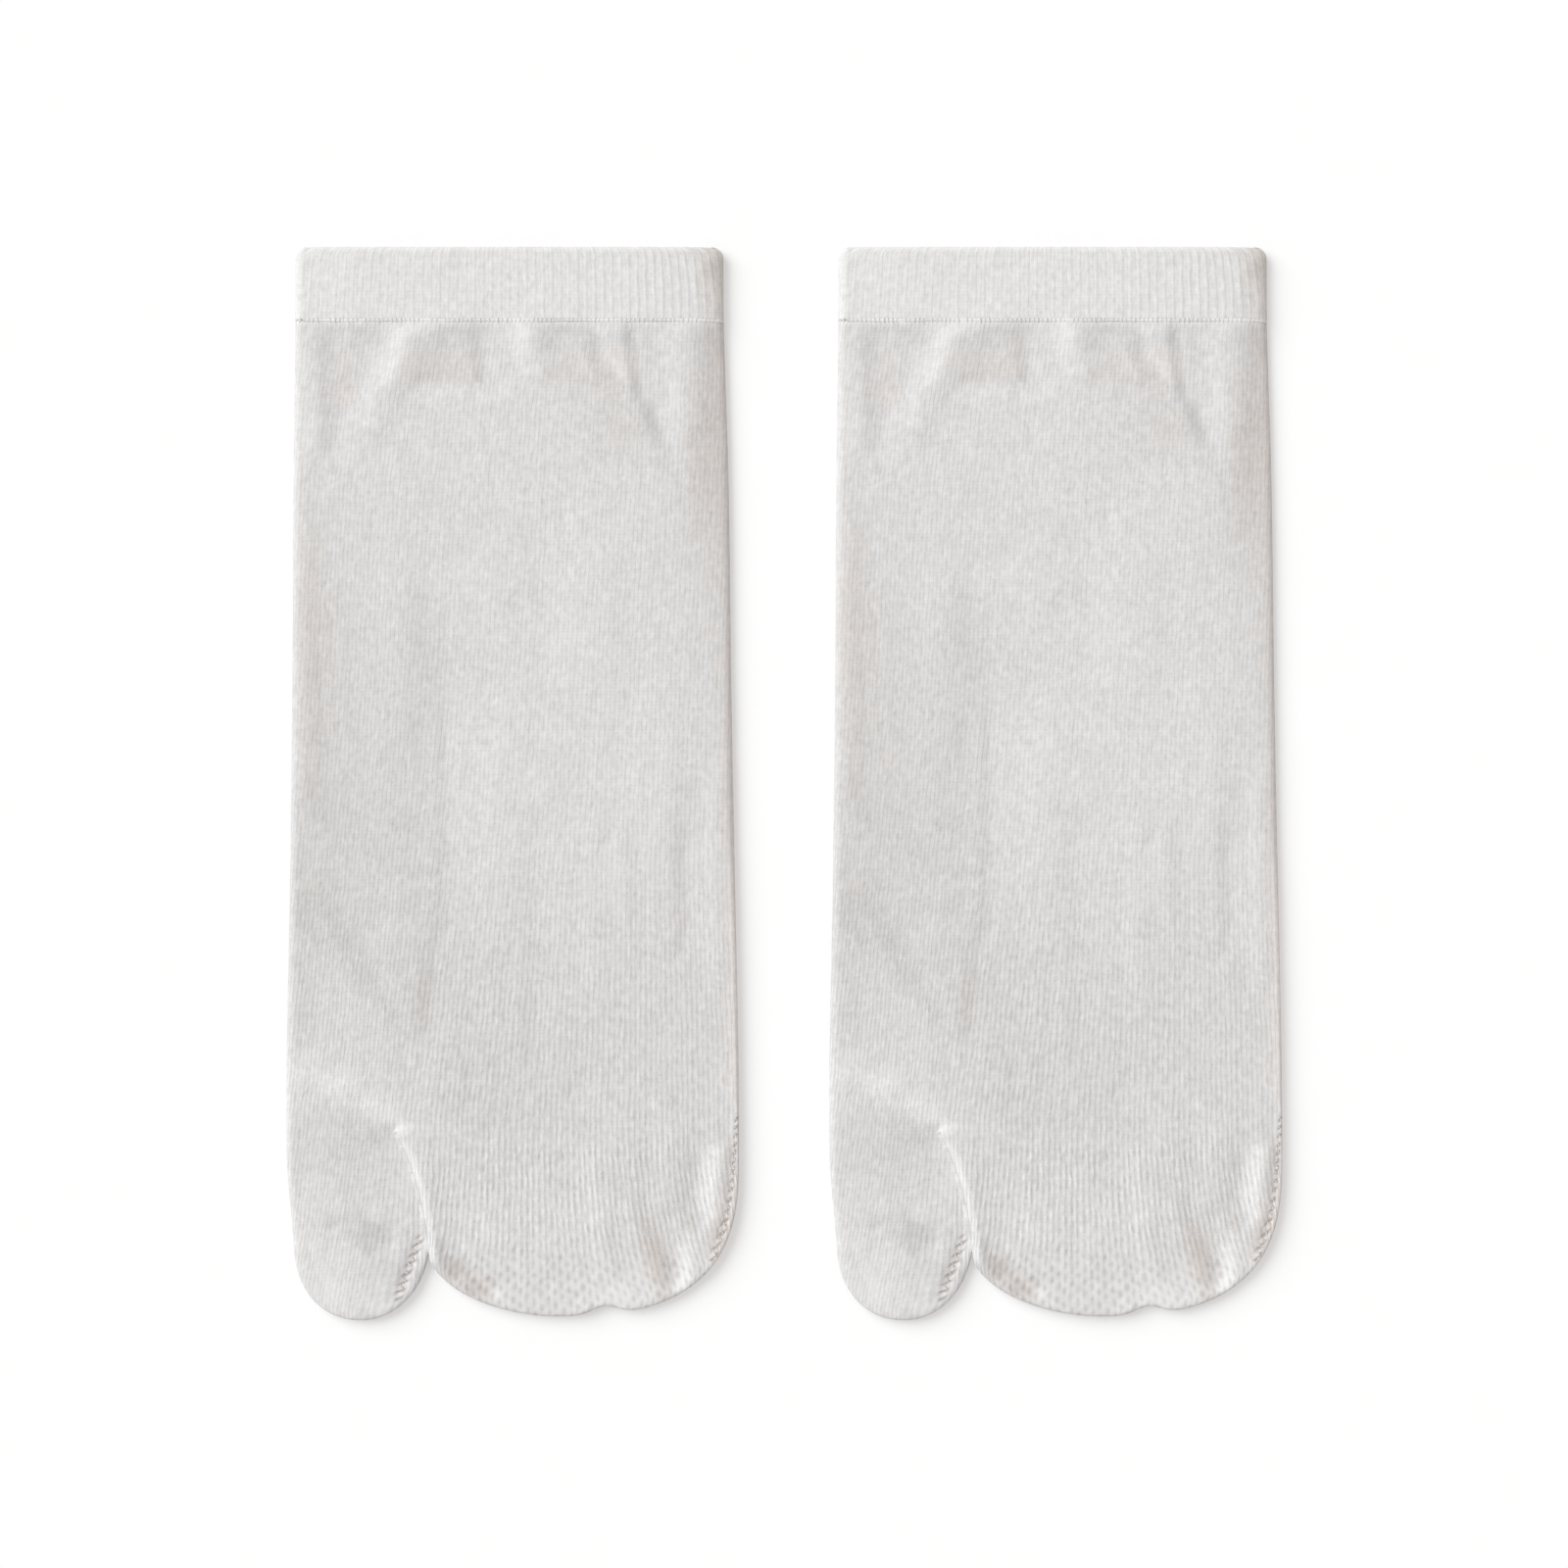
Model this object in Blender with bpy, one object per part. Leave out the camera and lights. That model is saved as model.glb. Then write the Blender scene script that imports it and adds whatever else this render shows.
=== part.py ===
"""A pair of knitted tabi socks, laid flat side by side with the toes towards -Y.

Each sock is a flattened tube of knit: a top layer and a bottom layer joined by round side folds, open
at the cuff, and split below the cleft into a big-toe pocket and a pocket for the other four toes.
Sizes are in millimetres until a mesh is made. On one sock, x runs across from the middle of the cuff,
y runs up from the tip of the big toe, and z runs up from the surface that it lies on.
"""

import math

import bmesh
import bpy
import numpy as np

METRES = 0.001

# The pair
SOCK_PITCH = 121.5
SOCK_LENGTH = 240.0
PAIR_NAMES = ("left", "right")

# The knit
BODY_WALL = 1.1
CUFF_WALL = 1.6
BODY_EDGE_HEIGHT = 3.2
CUFF_EDGE_HEIGHT = 4.2
CROWN = 0.5
TOE_CROWN = 1.2
CROWN_REACH = 9.0
LIP_DROP = 0.5
SEAM_GAP = 0.3

# The cuff
CUFF_HEIGHT = 16.5
CUFF_CORNER = 2.6

# The cleft between the big toe and the other four
CLEFT_TOP = (-24.9, 42.2)
CLEFT_GAP = 0.5
CLEFT_RUN = 7.6
CLEFT_DEPTH = 28.0
CLEFT_BEND = 0.6

# The round toe ends: the middle and low point of each, the heights where its two curves start, their
# powers (2 is an ellipse, more is squarer), and for the four toes the dip below the third toe
BIG_TOE_MIDDLE = -33.0
BIG_TOE_TIP = 0.0
BIG_TOE_SHOULDER = 18.0
BIG_TOE_POWERS = (2.2, 2.0)
FOUR_TOE_MIDDLE = 10.0
FOUR_TOE_TIP = 0.9
FOUR_TOE_SHOULDERS = (14.0, 37.0)
FOUR_TOE_POWERS = (1.8, 2.8)
TOE_DIP = 1.9
TOE_DIP_X = 21.5
TOE_DIP_WIDTH = 4.0

# How finely the sections divide the cloth
BIG_TOE_COLUMNS = 5
FOUR_TOE_COLUMNS = 15
BODY_ROWS = 18
BODY_ROW_CROWDING = 1.35
TOE_ROWS = 8
FOLD_STEPS = 4
CURVE_STEPS = 40

# The sides: a row for each height, with where the left and right folds lie
SIDES = (
    # y, left, right
    (240.0, -47.9, 47.9),
    (224.5, -47.9, 48.0),
    (190.0, -48.3, 49.0),
    (140.0, -48.6, 49.7),
    (98.0, -49.1, 50.5),
    (46.0, -49.9, 51.4),
    (36.0, -49.8, 51.4),
    (18.0, -48.3, 50.8),
)

# The largest folds of the top layer: a row for each, from one end to the other. A rise below 0 is a trough
FOLDS = (
    # x_from, y_from, x_to, y_to, half_width, rise
    (-20.5, 223.0, -27.0, 209.0, 4.0, 0.7),
    (4.2, 223.0, 8.0, 213.0, 3.6, 0.7),
    (42.0, 222.0, 42.5, 202.0, 4.5, 0.4),
    (-13.0, 168.0, -14.0, 72.0, 8.0, -0.75),
    (38.5, 106.0, 38.5, 84.0, 4.0, -0.4),
    (-44.0, 55.0, -27.0, 45.5, 4.0, 0.8),
    (-37.0, 42.0, -28.0, 31.0, 4.5, -0.4),
    (20.5, 34.0, 22.5, 12.0, 3.6, 0.5),
    (36.5, 22.0, 38.0, 9.0, 3.2, -0.6),
)


def side_x(y, side):
    """Where a side fold lies at one height, on a smooth curve through the rows of SIDES."""
    heights, places = [row[0] for row in SIDES][::-1], [row[1 + side] for row in SIDES][::-1]
    slopes = np.gradient(places, heights)
    at = int(np.clip(np.searchsorted(heights, y) - 1, 0, len(heights) - 2))
    span = heights[at + 1] - heights[at]
    t = (y - heights[at]) / span
    start = (1 + 2 * t) * (1 - t) ** 2 * places[at] + t * (1 - t) ** 2 * span * slopes[at]
    end = t * t * (3 - 2 * t) * places[at + 1] - t * t * (1 - t) * span * slopes[at + 1]
    return start + end


def cleft_x(y):
    """The middle of the cleft at one height: it leans over at its top and then straightens."""
    down = (CLEFT_TOP[1] - y) / CLEFT_DEPTH
    return CLEFT_TOP[0] + CLEFT_RUN * (1 - math.exp(-down / CLEFT_BEND)) / (1 - math.exp(-1 / CLEFT_BEND))


def round_end(start, end, middle, tip, powers):
    """The end of a toe pocket, from one side round its tip to the other, as two quarters of a superellipse."""
    points = []
    for (corner_x, corner_y), power, left in ((start, powers[0], True), (end, powers[1], False)):
        for step in range(CURVE_STEPS + 1):
            angle = math.pi / 2 * step / CURVE_STEPS
            angle = angle if left else math.pi / 2 - angle
            x = middle + (corner_x - middle) * math.cos(angle) ** (2 / power)
            y = corner_y - (corner_y - tip) * math.sin(angle) ** (2 / power)
            points.append((x, y))
    return points


def big_toe_edge():
    """From the left side at the cleft's height, round the big toe and up the cleft."""
    heights = np.linspace(CLEFT_TOP[1], BIG_TOE_SHOULDER, CURVE_STEPS)
    left = [(side_x(y, 0), y) for y in heights]
    right = [(cleft_x(y) - CLEFT_GAP / 2, y) for y in heights]
    end = round_end(left[-1], right[-1], BIG_TOE_MIDDLE, BIG_TOE_TIP, BIG_TOE_POWERS)
    return left + end + right[:0:-1] + [CLEFT_TOP]


def four_toe_edge():
    """From the top of the cleft, down it, round the four toes and up the right side."""
    down = np.linspace(CLEFT_TOP[1], FOUR_TOE_SHOULDERS[0], CURVE_STEPS)
    up = np.linspace(FOUR_TOE_SHOULDERS[1], CLEFT_TOP[1], CURVE_STEPS)
    left = [CLEFT_TOP] + [(cleft_x(y) + CLEFT_GAP / 2, y) for y in down[1:]]
    right = [(side_x(y, 1), y) for y in up]
    end = round_end(left[-1], right[0], FOUR_TOE_MIDDLE, FOUR_TOE_TIP, FOUR_TOE_POWERS)
    dipped = [(x, y + TOE_DIP * math.exp(-(((x - TOE_DIP_X) / TOE_DIP_WIDTH) ** 2))) for x, y in end]
    return left + dipped + right


def spaced(points, count):
    """The same line in a number of steps of equal length."""
    line = np.array(points)
    along = np.concatenate([[0], np.cumsum(np.linalg.norm(np.diff(line, axis=0), axis=1))])
    wanted = np.linspace(0, along[-1], count + 1)
    return np.column_stack([np.interp(wanted, along, line[:, axis]) for axis in (0, 1)])


def outward(line):
    """The directions out of the cloth at the points of an edge that runs with the cloth on its left."""
    tangents = np.gradient(line, axis=0)
    tangents[[0, -1], 0] = 0
    tangents /= np.linalg.norm(tangents, axis=1)[:, None]
    return np.column_stack([tangents[:, 1], -tangents[:, 0]])


def patch(top, bottom, left, right):
    """A grid of points spread evenly between four edges, its rows running from the top to the bottom."""
    u = np.linspace(0, 1, len(top))[None, :, None]
    v = np.linspace(0, 1, len(left))[:, None, None]
    across = (1 - u) * left[:, None] + u * right[:, None]
    down = (1 - v) * top[None] + v * bottom[None]
    corners = (1 - v) * ((1 - u) * top[0] + u * top[-1]) + v * ((1 - u) * bottom[0] + u * bottom[-1])
    return across + down - corners


def straight(start, end, count):
    return np.linspace(start, end, count + 1)


class Plan:
    """A flat sheet of four-sided faces seen from above, with the chains of points along its folded edges.

    Each chain holds its points' numbers and the directions out of the cloth there.
    """

    def __init__(self):
        self.points = []
        self.faces = []
        self.chains = []

    def add_grid(self, grid, top_row=None):
        rows = [] if top_row is None else [list(top_row)]
        for line in grid[len(rows) :]:
            rows.append(list(range(len(self.points), len(self.points) + len(line))))
            self.points.extend(line)
        for upper, lower in zip(rows, rows[1:]):
            for i in range(len(upper) - 1):
                self.faces.append((lower[i], lower[i + 1], upper[i + 1], upper[i]))
        return rows


def fold_rise(x, y):
    """How far the largest folds lift or lower the top layer at one point."""
    total = 0.0
    for x_from, y_from, x_to, y_to, half_width, rise in FOLDS:
        length = math.hypot(x_to - x_from, y_to - y_from)
        along_x, along_y = (x_to - x_from) / length, (y_to - y_from) / length
        along = (x - x_from) * along_x + (y - y_from) * along_y
        aside = (x - x_from) * along_y - (y - y_from) * along_x
        past = max(0.0, -along, along - length)
        total += rise * math.exp(-(aside**2 + past**2) / half_width**2)
    return total


def body_rise(x, y, inside):
    """How far the body's top layer stands above its edge height, this far inside the edge."""
    share = 1 - math.exp(-((inside / CROWN_REACH) ** 2))
    toes = 1 / (1 + math.exp((y - CLEFT_TOP[1]) / CROWN_REACH))
    return share * (CROWN + (TOE_CROWN - CROWN) * toes + fold_rise(x, y))


def cuff_rise(x, y, inside):
    """The cuff lies almost level and rounds over at its mouth."""
    share = 1 - math.exp(-((inside / CROWN_REACH) ** 2))
    to_mouth = SOCK_LENGTH - y
    return share * (CROWN - LIP_DROP * math.exp(-to_mouth))


def body_plan():
    """The body from above, its edges drawn in by the fold's radius so that the folds can round out to them."""
    start_y = SOCK_LENGTH - CUFF_HEIGHT - SEAM_GAP / 2
    shares = (np.arange(BODY_ROWS + 1) / BODY_ROWS) ** BODY_ROW_CROWDING
    heights = start_y + shares * (CLEFT_TOP[1] - start_y)
    left = np.array([(side_x(y, 0), y) for y in heights])
    right = np.array([(side_x(y, 1), y) for y in heights])
    big = spaced(big_toe_edge(), 2 * TOE_ROWS + BIG_TOE_COLUMNS)
    four = spaced(four_toe_edge(), 2 * TOE_ROWS + FOUR_TOE_COLUMNS)
    loop = np.concatenate([left, big[1:], four[1:], right[-2::-1]])
    directions = outward(loop)
    loop = loop - directions * BODY_EDGE_HEIGHT / 2
    left, loop_rest = loop[: BODY_ROWS + 1], loop[BODY_ROWS:]
    big, four = loop_rest[: len(big)], loop_rest[len(big) - 1 : len(big) + len(four) - 1]
    right = loop[: -BODY_ROWS - 2 : -1]
    cleft = big[-1]

    plan = Plan()
    foot = np.concatenate(
        [straight(left[-1], cleft, BIG_TOE_COLUMNS), straight(cleft, right[-1], FOUR_TOE_COLUMNS)[1:]]
    )
    opening = straight(left[0], right[0], BIG_TOE_COLUMNS + FOUR_TOE_COLUMNS)
    body = plan.add_grid(patch(opening, foot, left, right))
    pockets = []
    for edge, columns, top_row in (
        (big, BIG_TOE_COLUMNS, body[-1][: BIG_TOE_COLUMNS + 1]),
        (four, FOUR_TOE_COLUMNS, body[-1][BIG_TOE_COLUMNS:]),
    ):
        down, end = edge[: TOE_ROWS + 1], edge[TOE_ROWS : TOE_ROWS + columns + 1]
        up = edge[: TOE_ROWS + columns - 1 : -1]
        across = np.array([plan.points[at] for at in top_row])
        pockets.append(plan.add_grid(patch(across, end, down, up), top_row))
    chain = [row[0] for row in body]
    for pocket in pockets:
        chain += [row[0] for row in pocket[1:]] + pocket[-1][1:-1] + [row[-1] for row in pocket[::-1]]
    chain += [row[-1] for row in body[-2::-1]]
    plan.chains.append((chain, directions))
    return plan


def cuff_plan():
    """The cuff from above: a band with the two upper corners rounded."""
    bottom_y = SOCK_LENGTH - CUFF_HEIGHT + SEAM_GAP / 2
    corner_y = SOCK_LENGTH - CUFF_CORNER
    turns = [math.sin(math.radians(angle)) for angle in (70, 50, 25, 0)]
    heights = [corner_y + CUFF_CORNER * turn for turn in turns] + list(np.linspace(corner_y, bottom_y, 4)[1:])
    edges = []
    for side, out in ((0, -1), (1, 1)):
        line = []
        for y in heights:
            over = max(0.0, y - corner_y)
            cut = CUFF_CORNER - math.sqrt(CUFF_CORNER**2 - over**2)
            line.append((side_x(y, side) - out * (cut + CUFF_EDGE_HEIGHT / 2), y))
        edges.append(np.array(line))
    columns = BIG_TOE_COLUMNS + FOUR_TOE_COLUMNS
    plan = Plan()
    mouth = straight(edges[0][0], edges[1][0], columns)
    seam = straight(edges[0][-1], edges[1][-1], columns)
    rows = plan.add_grid(patch(mouth, seam, *edges))
    level = np.tile((1, 0), (len(rows), 1))
    plan.chains = [([row[0] for row in rows], -level), ([row[-1] for row in rows[::-1]], level)]
    return plan


def inside_edges(plan, point):
    """How far a point of the plan is inside the nearest folded edge."""
    nearest = math.inf
    for chain, _ in plan.chains:
        line = np.array([plan.points[at] for at in chain])
        starts, steps = line[:-1], np.diff(line, axis=0)
        share = ((point - starts) * steps).sum(axis=1) / (steps**2).sum(axis=1)
        feet = starts + np.clip(share, 0, 1)[:, None] * steps
        nearest = min(nearest, np.linalg.norm(feet - point, axis=1).min())
    return nearest


def skin_mesh(name, plan, edge_height, rise, shift):
    """The outer surface of a flattened tube: a flat underside, a top layer and round folds between them."""
    shape = bmesh.new()

    def vertex(x, y, z):
        return shape.verts.new(((x + shift[0]) * METRES, (y + shift[1]) * METRES, z * METRES))

    under, over = [], []
    for point in plan.points:
        x, y = point
        under.append(vertex(x, y, 0))
        over.append(vertex(x, y, edge_height + rise(x, y, inside_edges(plan, np.array(point)))))
    for face in plan.faces:
        shape.faces.new([over[at] for at in face])
        shape.faces.new([under[at] for at in face[::-1]])
    radius = edge_height / 2
    for chain, directions in plan.chains:
        columns = []
        for at, (out_x, out_y) in zip(chain, directions):
            x, y = plan.points[at]
            column = [under[at]]
            for step in range(1, FOLD_STEPS):
                angle = math.pi * step / FOLD_STEPS
                reach = radius * math.sin(angle)
                column.append(vertex(x + reach * out_x, y + reach * out_y, radius * (1 - math.cos(angle))))
            columns.append(column + [over[at]])
        for first, second in zip(columns, columns[1:]):
            for step in range(FOLD_STEPS):
                shape.faces.new((first[step], second[step], second[step + 1], first[step + 1]))
    mesh = bpy.data.meshes.new(name)
    shape.to_mesh(mesh)
    shape.free()
    mesh.shade_smooth()
    return mesh


def knit_material(name, colour, roughness):
    material = bpy.data.materials.new(name)
    material.use_nodes = True
    shader = material.node_tree.nodes["Principled BSDF"]
    shader.inputs["Base Color"].default_value = (*colour, 1)
    shader.inputs["Roughness"].default_value = roughness
    shader.inputs["Metallic"].default_value = 0.0
    return material


def add_knit(name, plan, edge_height, wall, rise, shift, material):
    """One knitted piece: its outer skin, thickened inwards by the wall."""
    knit = bpy.data.objects.new(name, skin_mesh(name, plan, edge_height, rise, shift))
    bpy.context.scene.collection.objects.link(knit)
    knit.data.materials.append(material)
    thickness = knit.modifiers.new("Wall", "SOLIDIFY")
    thickness.thickness = wall * METRES
    thickness.offset = -1
    return knit


def clear_scene():
    for thing in list(bpy.data.objects):
        bpy.data.objects.remove(thing)


def main():
    clear_scene()
    sides = np.array([(row[1], row[2]) for row in SIDES])
    middle = (sides[:, 0].min() + sides[:, 1].max()) / 2
    for name, place in zip(PAIR_NAMES, (-1, 1)):
        shift = (place * SOCK_PITCH / 2 - middle, -SOCK_LENGTH / 2)
        white = knit_material(name + "_body_knit", (0.69, 0.68, 0.66), 0.9)
        pale = knit_material(name + "_cuff_knit", (0.75, 0.74, 0.73), 0.85)
        add_knit(name + "_body", body_plan(), BODY_EDGE_HEIGHT, BODY_WALL, body_rise, shift, white)
        add_knit(name + "_cuff", cuff_plan(), CUFF_EDGE_HEIGHT, CUFF_WALL, cuff_rise, shift, pale)


main()
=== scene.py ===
"""The looks of a pair of knitted tabi socks, laid flat with the toes towards -Y.

Each sock gets a fine knit shell over its CAD body and cuff, with the creases listed, and the stitches
of its cuff line and toe seams. Sizes are in millimetres until a mesh is made. On one sock, x runs across from
the middle of the cuff, y runs up from the tip of the big toe, and z runs up from the floor.
"""

import math
import random

import bmesh
import bpy
import numpy as np
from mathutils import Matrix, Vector, noise
from mathutils.kdtree import KDTree


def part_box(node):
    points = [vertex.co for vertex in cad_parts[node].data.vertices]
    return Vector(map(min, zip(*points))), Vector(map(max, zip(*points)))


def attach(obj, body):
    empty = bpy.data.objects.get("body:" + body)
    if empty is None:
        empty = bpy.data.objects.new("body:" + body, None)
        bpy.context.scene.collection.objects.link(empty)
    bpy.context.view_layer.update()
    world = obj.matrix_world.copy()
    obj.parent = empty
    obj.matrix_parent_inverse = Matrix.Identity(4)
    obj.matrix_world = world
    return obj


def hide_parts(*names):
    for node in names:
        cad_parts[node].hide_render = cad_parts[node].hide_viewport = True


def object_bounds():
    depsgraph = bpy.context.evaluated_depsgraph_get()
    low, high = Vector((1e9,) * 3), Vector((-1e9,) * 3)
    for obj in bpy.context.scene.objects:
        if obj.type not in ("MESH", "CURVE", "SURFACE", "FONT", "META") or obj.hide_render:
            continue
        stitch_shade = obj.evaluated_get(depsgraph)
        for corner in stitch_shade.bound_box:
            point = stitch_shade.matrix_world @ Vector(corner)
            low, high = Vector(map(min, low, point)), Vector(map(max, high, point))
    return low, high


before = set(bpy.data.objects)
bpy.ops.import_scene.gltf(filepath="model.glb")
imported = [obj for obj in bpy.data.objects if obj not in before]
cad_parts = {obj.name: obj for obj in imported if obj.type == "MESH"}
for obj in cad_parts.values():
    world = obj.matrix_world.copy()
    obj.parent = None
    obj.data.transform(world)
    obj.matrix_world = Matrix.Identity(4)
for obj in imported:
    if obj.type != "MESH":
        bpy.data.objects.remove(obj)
CAD_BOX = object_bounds()
METRES = 0.001

# The pair, as in the CAD part
SOCK_LENGTH = 240
WALL = {"body": 1.1, "cuff": 1.6}
LEAST_HOLLOW = 0.25
BODY_EDGE_HEIGHT = 3.2
CUFF_EDGE_HEIGHT = 4.2
CROWN = 0.5
TOE_CROWN = 1.2
CROWN_REACH = 9
EDGE_REACH = 2.2
SEAM_GAP = 0.3
CUFF_HEIGHT = 16.5
CUFF_CORNER = 2.6
SEAM = SOCK_LENGTH - CUFF_HEIGHT
BODY_TOP = SEAM - SEAM_GAP / 2
CUFF_BOTTOM = SEAM + SEAM_GAP / 2
CLEFT_TOP = (-24.9, 42.2)
CLEFT_RUN = 7.6
CLEFT_DEPTH = 28
CLEFT_BEND = 0.6
BIG_TOE_MIDDLE = -33
BIG_TOE_TIP = 0
BIG_TOE_SHOULDER = 18
BIG_TOE_POWERS = (2.2, 2)
FOUR_TOE_MIDDLE = 10
FOUR_TOE_TIP = 0.9
FOUR_TOE_SHOULDERS = (14, 37)
FOUR_TOE_POWERS = (1.8, 2.8)
TOE_DIP = 1.9
TOE_DIP_X = 21.5
TOE_DIP_WIDTH = 4
SIDES = (
    # y, left, right
    (240, -47.9, 47.9),
    (224.5, -47.9, 48),
    (190, -48.3, 49),
    (140, -48.6, 49.7),
    (98, -49.1, 50.5),
    (46, -49.9, 51.4),
    (36, -49.8, 51.4),
    (18, -48.3, 50.8),
)

# How finely the cloth is divided. The underside and the lining use every COARSE-th point of the top layer
COARSE = 4
BIG_TOE_COLUMNS = 48
FOUR_TOE_COLUMNS = 120
BODY_ROWS = 228
TOE_ROWS = 48
CUFF_COLUMNS = 400
CUFF_ROWS = 36
LOWER_FOLD_STEPS = 4
UPPER_FOLD_STEPS = 6
LINING_FOLD_STEPS = 3
CURVE_STEPS = 120
SIDE_STEPS = 600
TOE_STEPS = 1000
CUFF_STEPS = 160
CAP_STEPS = 24

# The fold at the cloth's edge. At the cleft, the four toes' edge is a lip that laps over the big toe's tuck
FOLD_RADIUS = {"body": BODY_EDGE_HEIGHT / 2, "cuff": CUFF_EDGE_HEIGHT / 2}
FOLD_SLACK = 0.6
CLEFT_GAP = 0.1
CLEFT_SPREAD = 3.5
LAP_START = 2.4
LAP_END = 8
LIP_REACH = 0.6
LIP_HEIGHT = 1.9
LIP_RISE = 1.2
LIP_SPREAD = 6
LIP_WIDTH = 1
# How much highlight is painted along the four toes' rim at the cleft
LIP_PAINTED_HIGHLIGHT = 0.07
TUCK_DROP = 0.35
TUCK_SINK = 0.3
TUCK_SPREAD = 5
FOOT = CLEFT_TOP[1] + CLEFT_GAP / 2 + FOLD_RADIUS["body"]
BIG_TOE_CORNERS = (29, 14.5)
FOUR_TOE_CORNERS = (10, 38)

# The knit: how far apart its wales and courses are, and how many wales each part shows from above
WALE = 1
COURSE = 0.78
BIG_TOE_WALES = 26
FOUR_TOE_WALES = 70
ALL_WALES = BIG_TOE_WALES + FOUR_TOE_WALES
FAN_MIDDLE = 3
FAN = 0.2
BIG_TOE_DRIFT = 7

# How far the wales have drifted to the left, in wales, at heights down the sock's left and right halves
DRIFT_HEIGHTS = (240, 224, 205, 185, 170, 150, 120, 100, 46, 0)
DRIFT_LEFT = (0, 0, 2.6, 4.2, 4.9, 5.7, 7.6, 9.4, 13.9, 15)
DRIFT_RIGHT = (0, 0, 1, 2.4, 3.3, 4.6, 5.9, 6.6, 6, 5)
DRIFT_MIDDLE = 12
DRIFT_BLEND = 42

# The sloping shoulders inside the edges: a row for each, with how much of the drop the slope takes
SHOULDERS = (
    # x, y, reach_x, reach_y, share, width
    (49, 236, 14, 26, 0.66, 8),
    (49, 196, 14, 26, 0.66, 8.5),
    (50, 150, 14, 30, 0.45, 6.5),
    (51, 100, 14, 26, 0.12, 3),
    (51, 56, 14, 18, 0.02, 2),
    (50, 26, 14, 12, 0.02, 2),
    (42, 4, 8, 6, 0.25, 4),
    (-21, 10, 9, 12, 0.6, 5),
    (-46, 8, 10, 14, 0.55, 9),
)
# Away from these rows, the share and width of a shoulder, and how much they weigh
PLAIN_SHOULDER = (0.12, 3)
PLAIN_SHOULDER_WEIGHT = 0.2

# The folds of the top layer: a row for each, from its upper end to its lower. A rise below 0 is a trough. A
# slope lowers the cloth on the line's +X side and lifts it on the other, so that it turns from the light, and
# below 0 it does the opposite. The first nine rows are those of the CAD part
FOLDS = (
    # x_from, y_from, x_to, y_to, half_width, rise, slope
    (-20.5, 223, -27, 209, 4, 0.7, 0),
    (4.2, 223, 8, 213, 3.6, 0.7, 0),
    (42, 222, 42.5, 202, 4.5, 0.4, 0),
    (-13, 168, -14, 72, 8, -0.75, 0),
    (38.5, 106, 38.5, 84, 4, -0.4, 0),
    (-44, 55, -27, 45.5, 4, 0.8, 0),
    (-37, 42, -28, 31, 4.5, -0.4, 0),
    (20.5, 34, 22.5, 12, 3.6, 0.5, 0),
    (36.5, 22, 38, 9, 3.2, -0.6, 0),
    # Puckers under the cuff
    (-24.5, 220, -33, 202, 5, 0.2, -0.42),
    (-41.5, 220, -40.5, 196, 3.4, 0, 0.55),
    (-14, 222, -15, 215, 4.5, -0.35, 0.3),
    (-19, 209.5, -3, 209, 2.4, -0.55, 0),
    (-7.5, 223, -6, 213, 2.6, -0.45, 0.35),
    (2.5, 223, 3.5, 212, 3, 0.2, -0.3),
    (7, 221.5, 20, 214, 3.4, -0.2, 0.85),
    (20, 214, 31, 203.5, 3.6, -0.2, 0.8),
    (31, 203.5, 34.5, 194, 2.8, 0, 0.4),
    (20.5, 224, 21.5, 217, 2.2, 0.2, -0.45),
    (25.5, 224, 28.5, 208, 2.2, 0, 0.6),
    (36, 222, 37.5, 200, 4.5, 0, -0.45),
    # The long shallow waves of the leg
    (-43.5, 176, -43, 122, 4, 0, 0.3),
    (-21, 162, -20, 134, 6, 0, 0.38),
    (-15.2, 134, -15.2, 88, 2.4, 0, 0.2),
    (-36, 94, -34, 76, 8, 0, 0.38),
    (-16.5, 92, -20.5, 63, 2.6, 0, 0.13),
    (12, 172, 13, 148, 9, 0, -0.45),
    (-5, 126, -5, 92, 4.5, 0, -0.15),
    (27, 108, 27.5, 91, 2.8, 0, 0.18),
    (38, 128, 38, 106, 2.6, 0, 0.15),
    (38, 106, 38.5, 84, 2.4, 0, 0.22),
    (44.5, 122, 45, 76, 2.8, 0, -0.26),
    (-47, 106, -27, 92, 3.2, 0, -0.42),
    (-46, 94, -28, 79, 3, 0, -0.46),
    (-45, 81, -30, 66, 3.4, 0, -0.44),
    (-41, 69, -29, 57, 3, 0, -0.3),
    (4, 110, 4.5, 60, 3, 0, 0.12),
    (17, 112, 18, 52, 3.4, 0, -0.13),
    # Round the toes
    (-36, 27, -30, 16, 4, -0.15, 0.32),
    (-38.5, 21.2, -27, 18.6, 2.2, -0.7, 0),
    (-14.8, 15.5, -4.5, 6.2, 2, -0.75, 0.35),
    (28, 43, 31, 24, 5, 0, 0.35),
    (29, 25, 36, 8, 3, -0.2, 0.55),
    (46, 37, 43.5, 23, 3.6, 0.5, -0.75),
    (39.5, 15, 41, 5.5, 2.6, 0.45, -0.6),
    (34, 47.5, 46, 42.5, 2.2, 0.35, 0),
    # The linked seam across the big toe, and the grooves of the side seams
    (-46, 19.9, -27, 19.4, 0.7, 0.14, 0),
    (-20, 18.2, -24.8, 5.4, 1.2, -0.45, 0),
    (50.9, 46, 49.7, 30, 0.8, -0.3, 0),
    (49.7, 30, 48.5, 22.5, 0.8, -0.3, 0),
    (48.5, 22.5, 45.5, 14, 1, -0.4, 0),
)
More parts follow.
